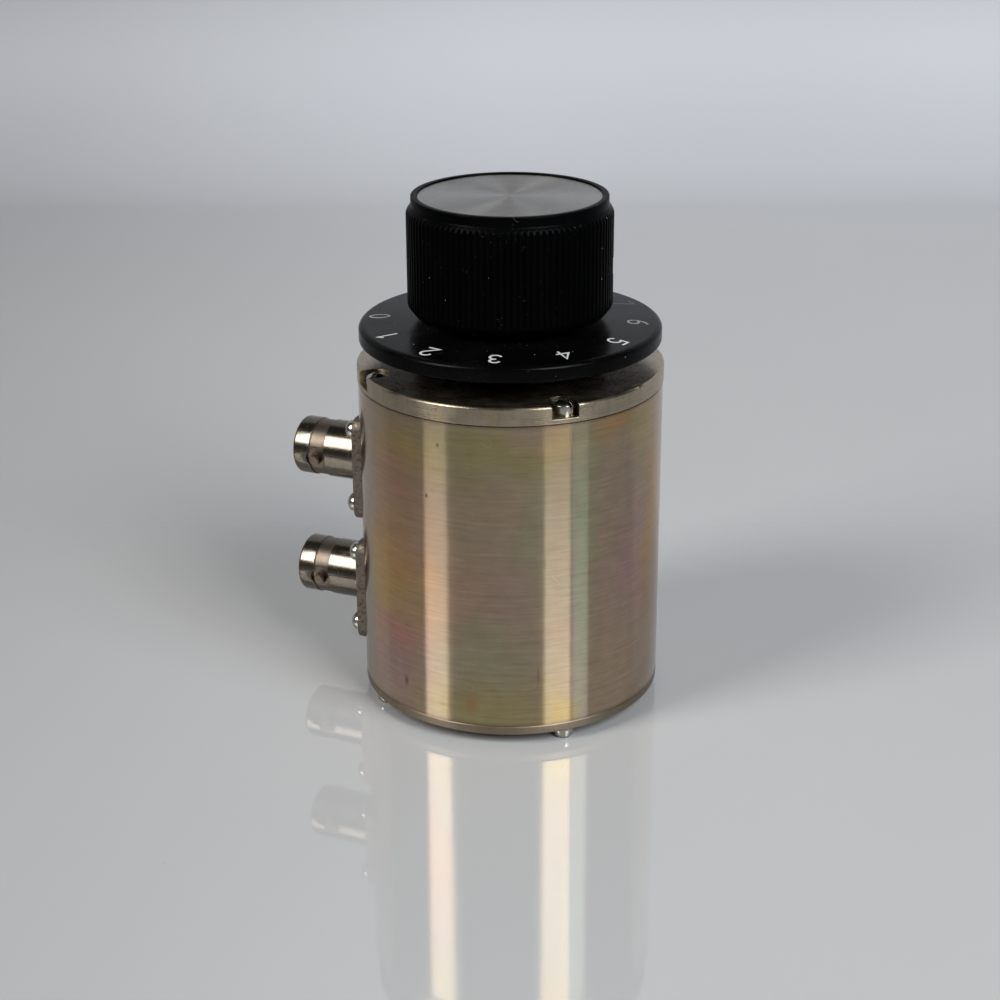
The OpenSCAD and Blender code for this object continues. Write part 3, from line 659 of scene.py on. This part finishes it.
@dataclass(frozen=True)
class BlackPlastic(Finish):
    """Moulded black plastic with dust, faint scuffs and a soft sheen."""

    dust: float = 0.35
    dust_scale: float = 1.1
    scuff: float = 0.1
    gloss: float = 0.3
    dust_colour: Colour = (0.42, 0.41, 0.39)
    lint_colour: Colour = (0.3, 0.3, 0.28)

    def material(self) -> bpy.types.Material:
        """Builds the finish.

        Returns:
            The material.
        """
        g = Graph(self.name)
        at = g.place()
        broad = g.noise(at, 0.16, 4.0, 0.6)
        fine = g.noise(at, 5.0, 4.0, 0.6)
        patchy = g.step(g.noise(at, 0.12, 3.0), 0.4, 0.7)
        big = g.specks(at, self.dust_scale * 0.5, 0.1, self.dust)
        small = g.specks(at + (5.0, 1.0, 8.0), self.dust_scale * 1.6, 0.13, self.dust)
        lint = g.hairlines(at, 0.45, 0.005, 0.62)
        haze = self.scuff * (patchy * fine + g.step(g.noise(at, 1.4, 5.0, 0.7), 0.55, 0.75) * 0.5)
        colour = (0.8 + broad * 0.4) * self.colour + haze * 0.02
        dusty = g.math("MAXIMUM", big * 0.6, small * patchy * 0.4)
        colour = g.mix(dusty, colour, self.dust_colour)
        colour = g.mix(lint * 0.35 * patchy, colour, self.lint_colour)
        return g.finish(
            Base_Color=colour,
            Metallic=0.0,
            Roughness=self.roughness + haze + (broad - 0.5) * 0.12 + small * 0.3 + big * 0.4,
            IOR=1.49,
            Specular_IOR_Level=self.gloss,
            Normal=g.bump(fine * 0.4 + broad * 0.6 + big + small, self.depth),
        )


@dataclass(frozen=True)
class NumeralPaint(Finish):
    """White paint in the numerals, with painted shade darkening them on the dial's far side."""

    bright_azimuth: float = 17.5
    thin: float = 0.12

    def material(self) -> bpy.types.Material:
        """Builds the finish.

        Returns:
            The material.
        """
        g = Graph(self.name)
        at = g.place()
        x, y, _ = g.split(at)
        # Painted shade: the paint's colour falls away from one azimuth near the front, down to a fixed
        # level on the far side.
        turn = g.math("ARCTAN2", x, -y) - math.radians(self.bright_azimuth)
        facing = g.math("COSINE", turn)
        painted_light_share = self.thin + (1.0 - self.thin) * g.step(facing, -0.6, 0.5)
        fine = g.noise(at, self.grain, 3.0)
        tone = (1.0 - self.mottle / 2) + (fine - 0.5) * self.mottle
        return g.finish(
            Base_Color=g.mix(1.0, (0.0, 0.0, 0.0), painted_light_share * tone * self.colour),
            Metallic=self.metallic,
            Roughness=self.roughness,
            Normal=g.bump(fine, self.depth),
        )


class Slot(Enum):
    """The finish of each material slot of the record."""

    CHROMATE_TUBE = Chromate("chromate_tube", Film.BROWN.value, roughness=0.165, depth=0.005)
    PLATE_METAL = TurnedPlate("plate_metal", (0.46, 0.385, 0.285), roughness=0.28, depth=0.006)
    NICKEL = JackNickel("nickel", (0.18, 0.156, 0.124), roughness=0.2, depth=0.02)
    SCREW_STEEL = Finish("screw_steel", (0.56, 0.53, 0.48), roughness=0.2, mottle=0.25, depth=0.006)
    PTFE = Finish("ptfe", (0.8, 0.78, 0.72), 0.0, 0.45, 0.08)
    GOLD_CONTACT = Finish("gold_contact", (0.83, 0.6, 0.24), roughness=0.2)
    GRIP_BLACK = BlackPlastic(
        "grip_black", (0.0007, 0.0008, 0.0009), roughness=0.3, depth=0.01, dust=0.8, scuff=0.05, gloss=0.02
    )
    SPUN_ALUMINIUM = SpunDisc("spun_aluminium", (0.335, 0.32, 0.298), roughness=0.3, depth=0.006)
    SKIRT_BLACK = BlackPlastic(
        "skirt_black",
        (0.001, 0.001, 0.001),
        roughness=0.22,
        depth=0.008,
        dust=0.7,
        dust_scale=1.7,
        scuff=0.12,
        gloss=0.06,
    )
    BRASS = Finish("brass", (0.72, 0.52, 0.24), roughness=0.28)
    SWITCH_METAL = Finish("switch_metal", (0.6, 0.57, 0.5), roughness=0.34)
    BLACK_STEEL = Finish("black_steel", (0.05, 0.05, 0.055), roughness=0.4)
    PHENOLIC = Finish("phenolic", (0.2, 0.09, 0.035), 0.0, 0.5, 0.4, 2.0)
    SILVER_PLATE = Finish("silver_plate", (0.8, 0.77, 0.7), roughness=0.25, mottle=0.25)
    FERRITE = Finish("ferrite", (0.3, 0.045, 0.035), 0.0, 0.45, 0.2, coat=0.3)
    ENAMELLED_COPPER = Finish("enamelled_copper", (0.6, 0.24, 0.09), 0.8, 0.25, coat=0.5)
    NYLON = Finish("nylon", (0.72, 0.69, 0.6), 0.0, 0.5, 0.1)
    CAPACITOR_BODY = Finish("capacitor_body", (0.5, 0.19, 0.05), 0.0, 0.4, 0.2, coat=0.3)


NUMERAL_PAINT = NumeralPaint("numeral_paint", (0.66, 0.66, 0.63), 0.0, 0.5, 0.35, 5.0, 0.004)


# ---- Meshes ----


def mesh_piece(
    name: str, shape: bmesh.types.BMesh, material: bpy.types.Material, sharp: float = SHARP_ANGLE
) -> bpy.types.Object:
    """Turns a bmesh into an object of the scene.

    Args:
        name: The object's name.
        shape: The mesh, which is freed.
        material: Its material.
        sharp: The angle in degrees above which an edge is drawn sharp.

    Returns:
        The object.
    """
    bmesh.ops.recalc_face_normals(shape, faces=shape.faces)
    mesh = bpy.data.meshes.new(name)
    shape.to_mesh(mesh)
    shape.free()
    mesh.materials.append(material)
    mesh.polygons.foreach_set("use_smooth", [True] * len(mesh.polygons))
    mesh.set_sharp_from_angle(angle=math.radians(sharp))
    made = bpy.data.objects.new(name, mesh)
    bpy.context.scene.collection.objects.link(made)
    LOG.info("%s: %d faces", name, len(mesh.polygons))
    return made


def rounded(points: list[Point], radius: float, steps: int = 3) -> list[Point]:
    """Rounds the corners of an open outline.

    Args:
        points: The outline's corners.
        radius: The most that a corner is cut back along each side.
        steps: The number of pieces in each rounded corner.

    Returns:
        The outline with its inner corners rounded.
    """
    made = [points[0]]
    for before, corner, after in zip(points, points[1:], points[2:]):
        here = Vector(corner)
        back, ahead = Vector(before) - here, Vector(after) - here
        cut = min(radius, 0.45 * back.length, 0.45 * ahead.length)
        start, end = here + back.normalized() * cut, here + ahead.normalized() * cut
        for i in range(steps + 1):
            t = i / steps
            made.append(tuple(start * (1 - t) ** 2 + here * 2 * t * (1 - t) + end * t**2))
    return [*made, points[-1]]


@dataclass
class SoftEdges:
    """Worn edges on the machined parts: welded, cleaned and given a narrow rounding."""

    widths: dict[str, float] = field(
        default_factory=lambda: {
            "can_tube": 0.05,
            "top_plate": 0.06,
            "base_plate": 0.06,
            "top_screws": 0.1,
            "foot_screws": 0.1,
            "jack_shell_upper": 0.09,
            "jack_shell_lower": 0.09,
            "jack_screws_upper": 0.1,
            "jack_screws_lower": 0.1,
            "dial_skirt": 0.06,
            "knob_disc": 0.04,
            "bush_nut": 0.1,
        }
    )
    weld: float = 0.002
    flat: float = 0.4
    sharp: float = 33.0

    def build(self, nodes: dict[str, bpy.types.Object]) -> None:
        """Adds the modifiers.

        Args:
            nodes: The tuner's parts by name.
        """
        for name, width in self.widths.items():
            part = nodes[name]
            weld = part.modifiers.new("weld", "WELD")
            weld.merge_threshold = self.weld * MM
            flat = part.modifiers.new("flat", "DECIMATE")
            flat.decimate_type = "DISSOLVE"
            flat.angle_limit = math.radians(self.flat)
            bevel = part.modifiers.new("edge", "BEVEL")
            bevel.width = width * MM
            bevel.segments = 2
            bevel.limit_method = "ANGLE"
            bevel.angle_limit = math.radians(self.sharp)
            bevel.miter_outer = "MITER_ARC"
            normals = part.modifiers.new("normals", "WEIGHTED_NORMAL")
            normals.weight = 80
            LOG.info("%s: edges rounded by %.2f mm", name, width)


@dataclass
class KnobGrip:
    """The ribbed black grip, turned and fluted in one dense mesh."""

    ribs: int = 100
    samples: int = 8
    rib_depth: float = 0.36
    crest_end: float = 0.14
    flank: float = 0.3
    corner: float = 0.22
    longest: float = 3.0
    floor_r: float = 14.9
    floor_rise: float = 4.25
    full_rise: float = 5.7
    neck_r: float = 9.0
    neck_rise: float = 3.2
    spigot_r: float = 7.0
    bore_r: float = 5.5
    collar_r: float = 15.29
    shoulder_drop: float = 2.05
    collar_drop: float = 1.55
    lip: float = 1.05
    recess: float = 0.9
    hole_r: float = 1.85
    hole_azimuths: tuple[float, ...] = (112.0, 202.0)

    def profile(self, low: float, high: float, grip_r: float, bore_top: float) -> list[Point]:
        """The half section, from the recess's middle round to the bore's end.

        Args:
            low: The lowest height.
            high: The highest height.
            grip_r: The radius over the ribs.
            bore_top: Where the bore ends.

        Returns:
            Points of radius and height.
        """
        floor_z = low + self.floor_rise
        recess_r = self.collar_r - self.lip
        side_top = high - self.shoulder_drop - 0.6
        crests = [
            (0.0, high - self.recess),
            (recess_r, high - self.recess),
            (recess_r, high),
            (self.collar_r, high),
            (self.collar_r, high - self.collar_drop),
            (grip_r - 0.3, high - self.shoulder_drop),
            (grip_r, side_top),
            (grip_r, low + self.full_rise),
            (self.floor_r + 0.25, floor_z + 0.25),
            (self.floor_r, floor_z),
            (self.neck_r, floor_z),
            (self.neck_r, low + self.neck_rise),
            (self.spigot_r, low + self.neck_rise),
            (self.spigot_r, low),
            (self.bore_r, low),
            (self.bore_r, bore_top),
            (0.0, bore_top),
        ]
        return rounded(crests, self.corner)

    def radius_at(self, r: float, z: float, phase: float, span: Point, grip_r: float) -> float:
        """The radius after the flutes are cut.

        Args:
            r: The uncut radius.
            z: The height.
            phase: The distance from the nearest crest, in ribs.
            span: The lowest and highest height of the fluted zone.
            grip_r: The radius over the ribs.

        Returns:
            The cut radius.
        """
        if not span[0] <= z <= span[1]:
            return r
        t = min(1.0, max(0.0, (phase - self.crest_end) / self.flank))
        return min(r, grip_r - self.rib_depth * t * t * (3 - 2 * t))

    def build(self, material: bpy.types.Material) -> bpy.types.Object:
        """Builds the grip in place of the plain one.

        Args:
            material: The grip's material.

        Returns:
            The grip.
        """
        low, high = (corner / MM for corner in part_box("knob_grip"))
        bore_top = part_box("hub_bush")[1].z / MM
        grip_r = (high.x - low.x) / 2
        outline = self.profile(low.z, high.z, grip_r, bore_top)
        fine = [outline[0]]
        for point in outline[1:]:
            start = fine[-1]
            pieces = max(1, round(math.dist(start, point) / self.longest))
            for i in range(1, pieces + 1):
                fine.append(tuple(Vector(start).lerp(Vector(point), i / pieces)))
        span = (low.z + self.floor_rise, high.z - self.collar_drop - 0.01)
        around = self.ribs * self.samples
        shape = bmesh.new()
        rings = []
        for r, z in fine:
            if r < 1e-6:
                rings.append([shape.verts.new((0, 0, z * MM))] * around)
                continue
            ring = []
            for i in range(around):
                phase = abs((i / self.samples + 0.5) % 1 - 0.5)
                cut = self.radius_at(r, z, phase, span, grip_r)
                spot = direction(360 * i / around) * cut * MM
                ring.append(shape.verts.new((spot.x, spot.y, z * MM)))
            rings.append(ring)
        for upper, lower in zip(rings, rings[1:]):
            for i in range(around):
                j = (i + 1) % around
                corners = dict.fromkeys([upper[i], upper[j], lower[j], lower[i]])
                shape.faces.new(corners)
        grip = mesh_piece("grip_shell", shape, material)
        self._drill(grip, grip_r)
        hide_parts("knob_grip")
        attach(grip, "dial")
        return grip

    def _drill(self, grip: bpy.types.Object, grip_r: float) -> None:
        """Cuts the holes over the set screws.

        Args:
            grip: The grip.
            grip_r: The radius over the ribs.
        """
        low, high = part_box("set_screws")
        height = (low.z + high.z) / 2
        cutter = bmesh.new()
        for azimuth in self.hole_azimuths:
            out = direction(azimuth)
            turn = out.to_track_quat("Z", "Y").to_matrix().to_4x4()
            middle = Matrix.Translation(out * (grip_r + self.bore_r) / 2 * MM + Vector((0, 0, height)))
            bmesh.ops.create_cone(
                cutter,
                cap_ends=True,
                segments=48,
                radius1=self.hole_r * MM,
                radius2=self.hole_r * MM,
                depth=(grip_r - self.bore_r + 2.0) * MM,
                matrix=middle @ turn,
            )
        tool = mesh_piece("hole_cutter", cutter, grip.data.materials[0])
        cut = grip.modifiers.new("holes", "BOOLEAN")
        cut.operation = "DIFFERENCE"
        cut.solver = "EXACT"
        cut.object = tool
        bpy.context.view_layer.update()
        evaluated = grip.evaluated_get(bpy.context.evaluated_depsgraph_get())
        mesh = bpy.data.meshes.new_from_object(evaluated)
        grip.modifiers.clear()
        grip.data = mesh
        bpy.data.objects.remove(tool)
        mesh.polygons.foreach_set("use_smooth", [True] * len(mesh.polygons))
        mesh.set_sharp_from_angle(angle=math.radians(SHARP_ANGLE))


def arc(centre: Point, radii: Point, start: float, end: float, steps: int = 20) -> list[Point]:
    """Points along part of an ellipse.

    Args:
        centre: Its middle.
        radii: Its half width and half height.
        start: The first angle in degrees, anticlockwise from the right.
        end: The last angle.
        steps: The number of pieces.

    Returns:
        The points.
    """
    angles = [math.radians(start + (end - start) * i / steps) for i in range(steps + 1)]
    return [(centre[0] + radii[0] * math.cos(a), centre[1] + radii[1] * math.sin(a)) for a in angles]


@dataclass
class Numerals:
    """White printed numerals from 0 to 10 on the dial's skirt, their tops outwards."""

    height: float = 3.4
    stroke: float = 0.37
    middle_r: float = 20.35
    drift: float = 0.35
    drift_azimuth: float = -67.0
    middle_azimuth: float = 77.5
    pitch: float = 30.0
    lift: float = 0.015
    neck_r: float = 9.0
    crown_drop: float = 0.652
    crown_run: float = 13.92
    half: float = 0.45
    digit_pitch: float = 0.66

    def strokes(self, digit: int) -> list[list[Point]]:
        """The pen strokes of a digit, one unit high with its middle at the origin.

        Args:
            digit: The digit.

        Returns:
            Lists of points.
        """
        h, w = self.half, 0.25
        bowl = arc((0, -0.2), (w, h - 0.2), 0, 360, 32)
        tail = arc((0.31, -0.2), (w + 0.31, h + 0.2), 180, 103)
        shapes = {
            0: [arc((0, 0), (w, h), 0, 360, 36)],
            1: [[(-0.14, h - 0.17), (0.03, h), (0.03, -h)]],
            2: [arc((0, h - w), (w, w), 165, -38) + [(-w - 0.02, -h), (w + 0.01, -h)]],
            3: [
                arc((-0.01, 0.24), (0.22, h - 0.24), 150, -90),
                arc((-0.01, -0.215), (w, h - 0.215), 90, -150),
            ],
            4: [[(0.11, -h), (0.11, h), (-0.27, -0.2), (0.27, -0.2)]],
            5: [
                [(0.22, h), (-0.19, h), (-0.21, 0.06)] + arc((0, -0.16), (w, h - 0.16), 128, -140),
            ],
            6: [bowl, tail],
            7: [[(-w, h), (w, h), (-0.07, -h)]],
            8: [
                arc((0, 0.235), (0.2, h - 0.235), 0, 360, 28),
                arc((0, -0.21), (w, h - 0.21), 0, 360, 32),
            ],
            9: [[(-u, -v) for u, v in path] for path in (bowl, tail)],
        }
        return shapes[digit]

    def surface(self, r: float) -> float:
        """The skirt's height at a radius, in millimetres."""
        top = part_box("dial_skirt")[1].z / MM
        return top - (r - self.neck_r) * self.crown_drop / self.crown_run

    def ribbon(
        self, shape: bmesh.types.BMesh, path: list[Point], azimuth: float, shift: float
    ) -> None:
        """Lays one stroke on the skirt.

        Args:
            shape: The mesh to add to.
            path: The stroke's middle line.
            azimuth: The numeral's azimuth.
            shift: The digit's offset to the right, in digit heights.
        """
        out = direction(azimuth)
        right = Vector((out.y, -out.x, 0))
        closed = math.dist(path[0], path[-1]) < 1e-6
        points = [Vector(p) for p in (path[:-1] if closed else path)]
        count = len(points)
        rows = []
        for i, point in enumerate(points):
            before = points[(i - 1) % count] if closed or i else point * 2 - points[1]
            after = points[(i + 1) % count] if closed or i < count - 1 else point * 2 - points[-2]
            a, b = (point - before).normalized(), (after - point).normalized()
            along = (a + b).normalized()
            normal = Vector((-along.y, along.x)) / max(0.5, along.dot(a))
            reach = self.stroke / self.height / 2
            overrun = along * reach * (0 if closed else (i == count - 1) - (i == 0))
            row = []
            for side, level in ((1, 1), (1, -1), (-1, -1), (-1, 1)):
                spot = point + overrun + normal * reach * side
                flat = out * (self.middle_r + spot.y * self.height)
                flat = flat + right * (spot.x + shift) * self.height
                flat += direction(self.drift_azimuth) * self.drift
                z = self.surface(flat.length) + self.lift * level
                row.append(shape.verts.new((flat.x * MM, flat.y * MM, z * MM)))
            rows.append(row)
        pairs = zip(rows, rows[1:] + rows[:1]) if closed else zip(rows, rows[1:])
        for first, second in pairs:
            for k in range(4):
                shape.faces.new((first[k], first[(k + 1) % 4], second[(k + 1) % 4], second[k]))
        if not closed:
            shape.faces.new(rows[0])
            shape.faces.new(rows[-1][::-1])

    def build(self, material: bpy.types.Material) -> list[bpy.types.Object]:
        """Prints all the numerals.

        Args:
            material: The paint.

        Returns:
            One object for each number.
        """
        made = []
        for number in range(11):
            azimuth = self.middle_azimuth + self.pitch * (number - 5)
            digits = [int(d) for d in str(number)]
            shape = bmesh.new()
            for place, digit in enumerate(digits):
                shift = (place - (len(digits) - 1) / 2) * self.digit_pitch
                for path in self.strokes(digit):
                    self.ribbon(shape, path, azimuth, shift)
            piece = mesh_piece(f"numeral_{number}", shape, material)
            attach(piece, "dial")
            made.append(piece)
        return made


# ---- Studio ----


@dataclass(frozen=True)
class Studio:
    """A pale glossy floor that curves up into a low backdrop."""

    heading: float = 23.0
    reach: float = 2.6
    flat_end: float = 0.33
    curve: float = 0.07
    wall: float = 0.55
    curve_steps: int = 24
    floor_colour: Colour = (0.445, 0.442, 0.436)
    wall_colour: Colour = (0.46, 0.465, 0.485)
    dust_colour: Colour = (0.2, 0.2, 0.2)

    def build(self) -> bpy.types.Object:
        """Builds the sweep.

        Returns:
            The floor.
        """
        away = -direction(self.heading)
        side = Vector((-away.y, away.x, 0))
        section = [(-self.reach, 0.0), (self.flat_end, 0.0)]
        for i in range(1, self.curve_steps + 1):
            a = math.radians(90 * i / self.curve_steps)
            out, up = math.sin(a), 1 - math.cos(a)
            section.append((self.flat_end + self.curve * out, self.curve * up))
        section.append((self.flat_end + self.curve, self.curve + self.wall))
        shape = bmesh.new()
        rows = [
            [shape.verts.new(away * d + side * s * self.reach + Vector((0, 0, z))) for s in (-1, 1)]
            for d, z in section
        ]
        for (a, b), (c, d) in zip(rows, rows[1:]):
            shape.faces.new((a, b, d, c))
        floor = mesh_piece("studio_floor", shape, self.surface())
        return floor

    def surface(self) -> bpy.types.Material:
        """The floor's material, with painted shade towards the camera's left.

        Returns:
            The material.
        """
        g = Graph("studio_floor")
        at = g.place()
        broad = g.noise(at, 0.006, 3.0)
        dust = g.specks(at, 0.09, 0.035, 0.3)
        x, y, z = g.split(at)
        out = direction(self.heading)
        away = x * -out.x + y * -out.y
        aside = x * -out.y + y * out.x
        rise = g.step(away, self.flat_end * 0.7 / MM, (self.flat_end + self.curve) / MM)
        colour = g.mix(rise, self.floor_colour, self.wall_colour)
        # Painted shade: the floor's colour falls to 0.62 of itself towards the camera's left.
        colour = colour * (0.94 + broad * 0.12) * (0.62 + 0.38 * g.step(aside, -260.0, 20.0))
        return g.finish(
            Base_Color=g.mix(dust * 0.3, colour, self.dust_colour),
            Roughness=0.02 + g.step(away, 20.0, 110.0) * 0.45 + rise * 0.1 + broad * 0.03,
            IOR=1.65,
            Normal=g.bump(broad, 0.02),
        )


@dataclass(frozen=True)
class Lamp:
    """A tall soft light that faces the tuner."""

    name: str
    azimuth: float
    elevation: float
    distance: float
    width: float
    height: float
    radiance: float
    colour: Colour = (1.0, 1.0, 1.0)
    aim: float = 0.03

    def build(self) -> bpy.types.Object:
        """Hangs the lamp.

        Returns:
            The lamp.
        """
        tilt = math.radians(self.elevation)
        level = direction(self.azimuth) * math.cos(tilt)
        place = (level + Vector((0, 0, math.sin(tilt)))) * self.distance
        data = bpy.data.lights.new(self.name, "AREA")
        data.shape = "RECTANGLE"
        data.size, data.size_y = self.width, self.height
        data.energy = self.radiance * 4 * self.width * self.height
        data.color = self.colour
        lamp = bpy.data.objects.new(self.name, data)
        lamp.location = place
        lamp.rotation_mode = "QUATERNION"
        lamp.rotation_quaternion = (Vector((0, 0, self.aim)) - place).to_track_quat("-Z", "Y")
        bpy.context.scene.collection.objects.link(lamp)
        LOG.info("%s hung at azimuth %.0f", self.name, self.azimuth)
        return lamp


LAMPS = (
    Lamp("left_light", -36.0, 38.0, 1.6, 0.5, 0.98, 9.2),
    Lamp("right_light", 58.5, 38.0, 1.6, 0.53, 0.98, 9.2),
    Lamp("side_light", 77.0, 38.0, 1.63, 0.34, 0.98, 5.2, (0.66, 0.82, 1.0)),
)
ROOM_LIGHT = 0.06


@dataclass(frozen=True)
class Viewpoint:
    """The camera: its place, its pitch and the slight turn and roll of its hand-held aim."""

    azimuth: float = 23.0
    reach: float = 304.3
    height: float = 154.5
    pitch: float = 21.93
    yaw: float = -0.33
    roll: float = -0.3
    lens: float = 72.61
    sensor: float = 36.0

    def build(self) -> bpy.types.Object:
        """Places the camera and makes it the scene's.

        Returns:
            The camera.
        """
        tilt, yaw, roll = (math.radians(v) for v in (self.pitch, self.yaw, self.roll))
        level_ahead = Vector((math.sin(yaw), math.cos(yaw), 0))
        ahead = level_ahead * math.cos(tilt) - Vector((0, 0, math.sin(tilt)))
        level = Vector((math.cos(yaw), -math.sin(yaw), 0))
        above = level.cross(ahead)
        right = math.cos(roll) * level + math.sin(roll) * above
        up = -math.sin(roll) * level + math.cos(roll) * above
        turn = Matrix.Rotation(math.radians(self.azimuth), 3, "Z")
        axes = turn @ Matrix((right, up, -ahead)).transposed()
        data = bpy.data.cameras.new("camera")
        data.lens, data.sensor_width = self.lens, self.sensor
        data.clip_start, data.clip_end = 0.01, 20.0
        data.dof.use_dof = False
        camera = bpy.data.objects.new("camera", data)
        place = direction(self.azimuth) * self.reach + Vector((0, 0, self.height))
        camera.matrix_world = Matrix.Translation(place * MM) @ axes.to_4x4()
        bpy.context.scene.collection.objects.link(camera)
        bpy.context.scene.camera = camera
        return camera


def light_world(strength: float) -> None:
    """Gives the room a plain even light.

    Args:
        strength: The room's radiance.
    """
    world = bpy.data.worlds.new("room")
    world.use_nodes = True
    backdrop = world.node_tree.nodes["Background"]
    backdrop.inputs["Color"].default_value = (0.97, 0.985, 1.0, 1.0)
    backdrop.inputs["Strength"].default_value = strength
    bpy.context.scene.world = world


@dataclass
class Tuner:
    """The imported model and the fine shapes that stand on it."""

    nodes: dict[str, bpy.types.Object]
    edges: SoftEdges = field(default_factory=SoftEdges)
    grip: KnobGrip = field(default_factory=KnobGrip)
    numerals: Numerals = field(default_factory=Numerals)

    def dress(self) -> dict[str, bpy.types.Material]:
        """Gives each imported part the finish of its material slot.

        Returns:
            The materials by slot name.
        """
        made = {slot.value.name: slot.value.material() for slot in Slot}
        for name, part in sorted(self.nodes.items()):
            for place in part.material_slots:
                place.material = made[place.material.name.split(".")[0]]
            LOG.info("%s dressed", name)
        return made

    def build(self) -> None:
        """Dresses the parts and builds the fine shapes."""
        finishes = self.dress()
        self.edges.build(self.nodes)
        self.grip.build(finishes["grip_black"])
        self.numerals.build(NUMERAL_PAINT.material())


def main() -> None:
    """Builds the scene in order."""
    logging.basicConfig(level=logging.INFO, format="%(name)s: %(message)s")
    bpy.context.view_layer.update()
    Tuner(frame["nodes"]).build()
    Studio().build()
    for lamp in LAMPS:
        lamp.build()
    light_world(ROOM_LIGHT)
    Viewpoint().build()
    bpy.context.scene.view_settings.view_transform = "Standard"


if __name__ == "__main__":
    main()
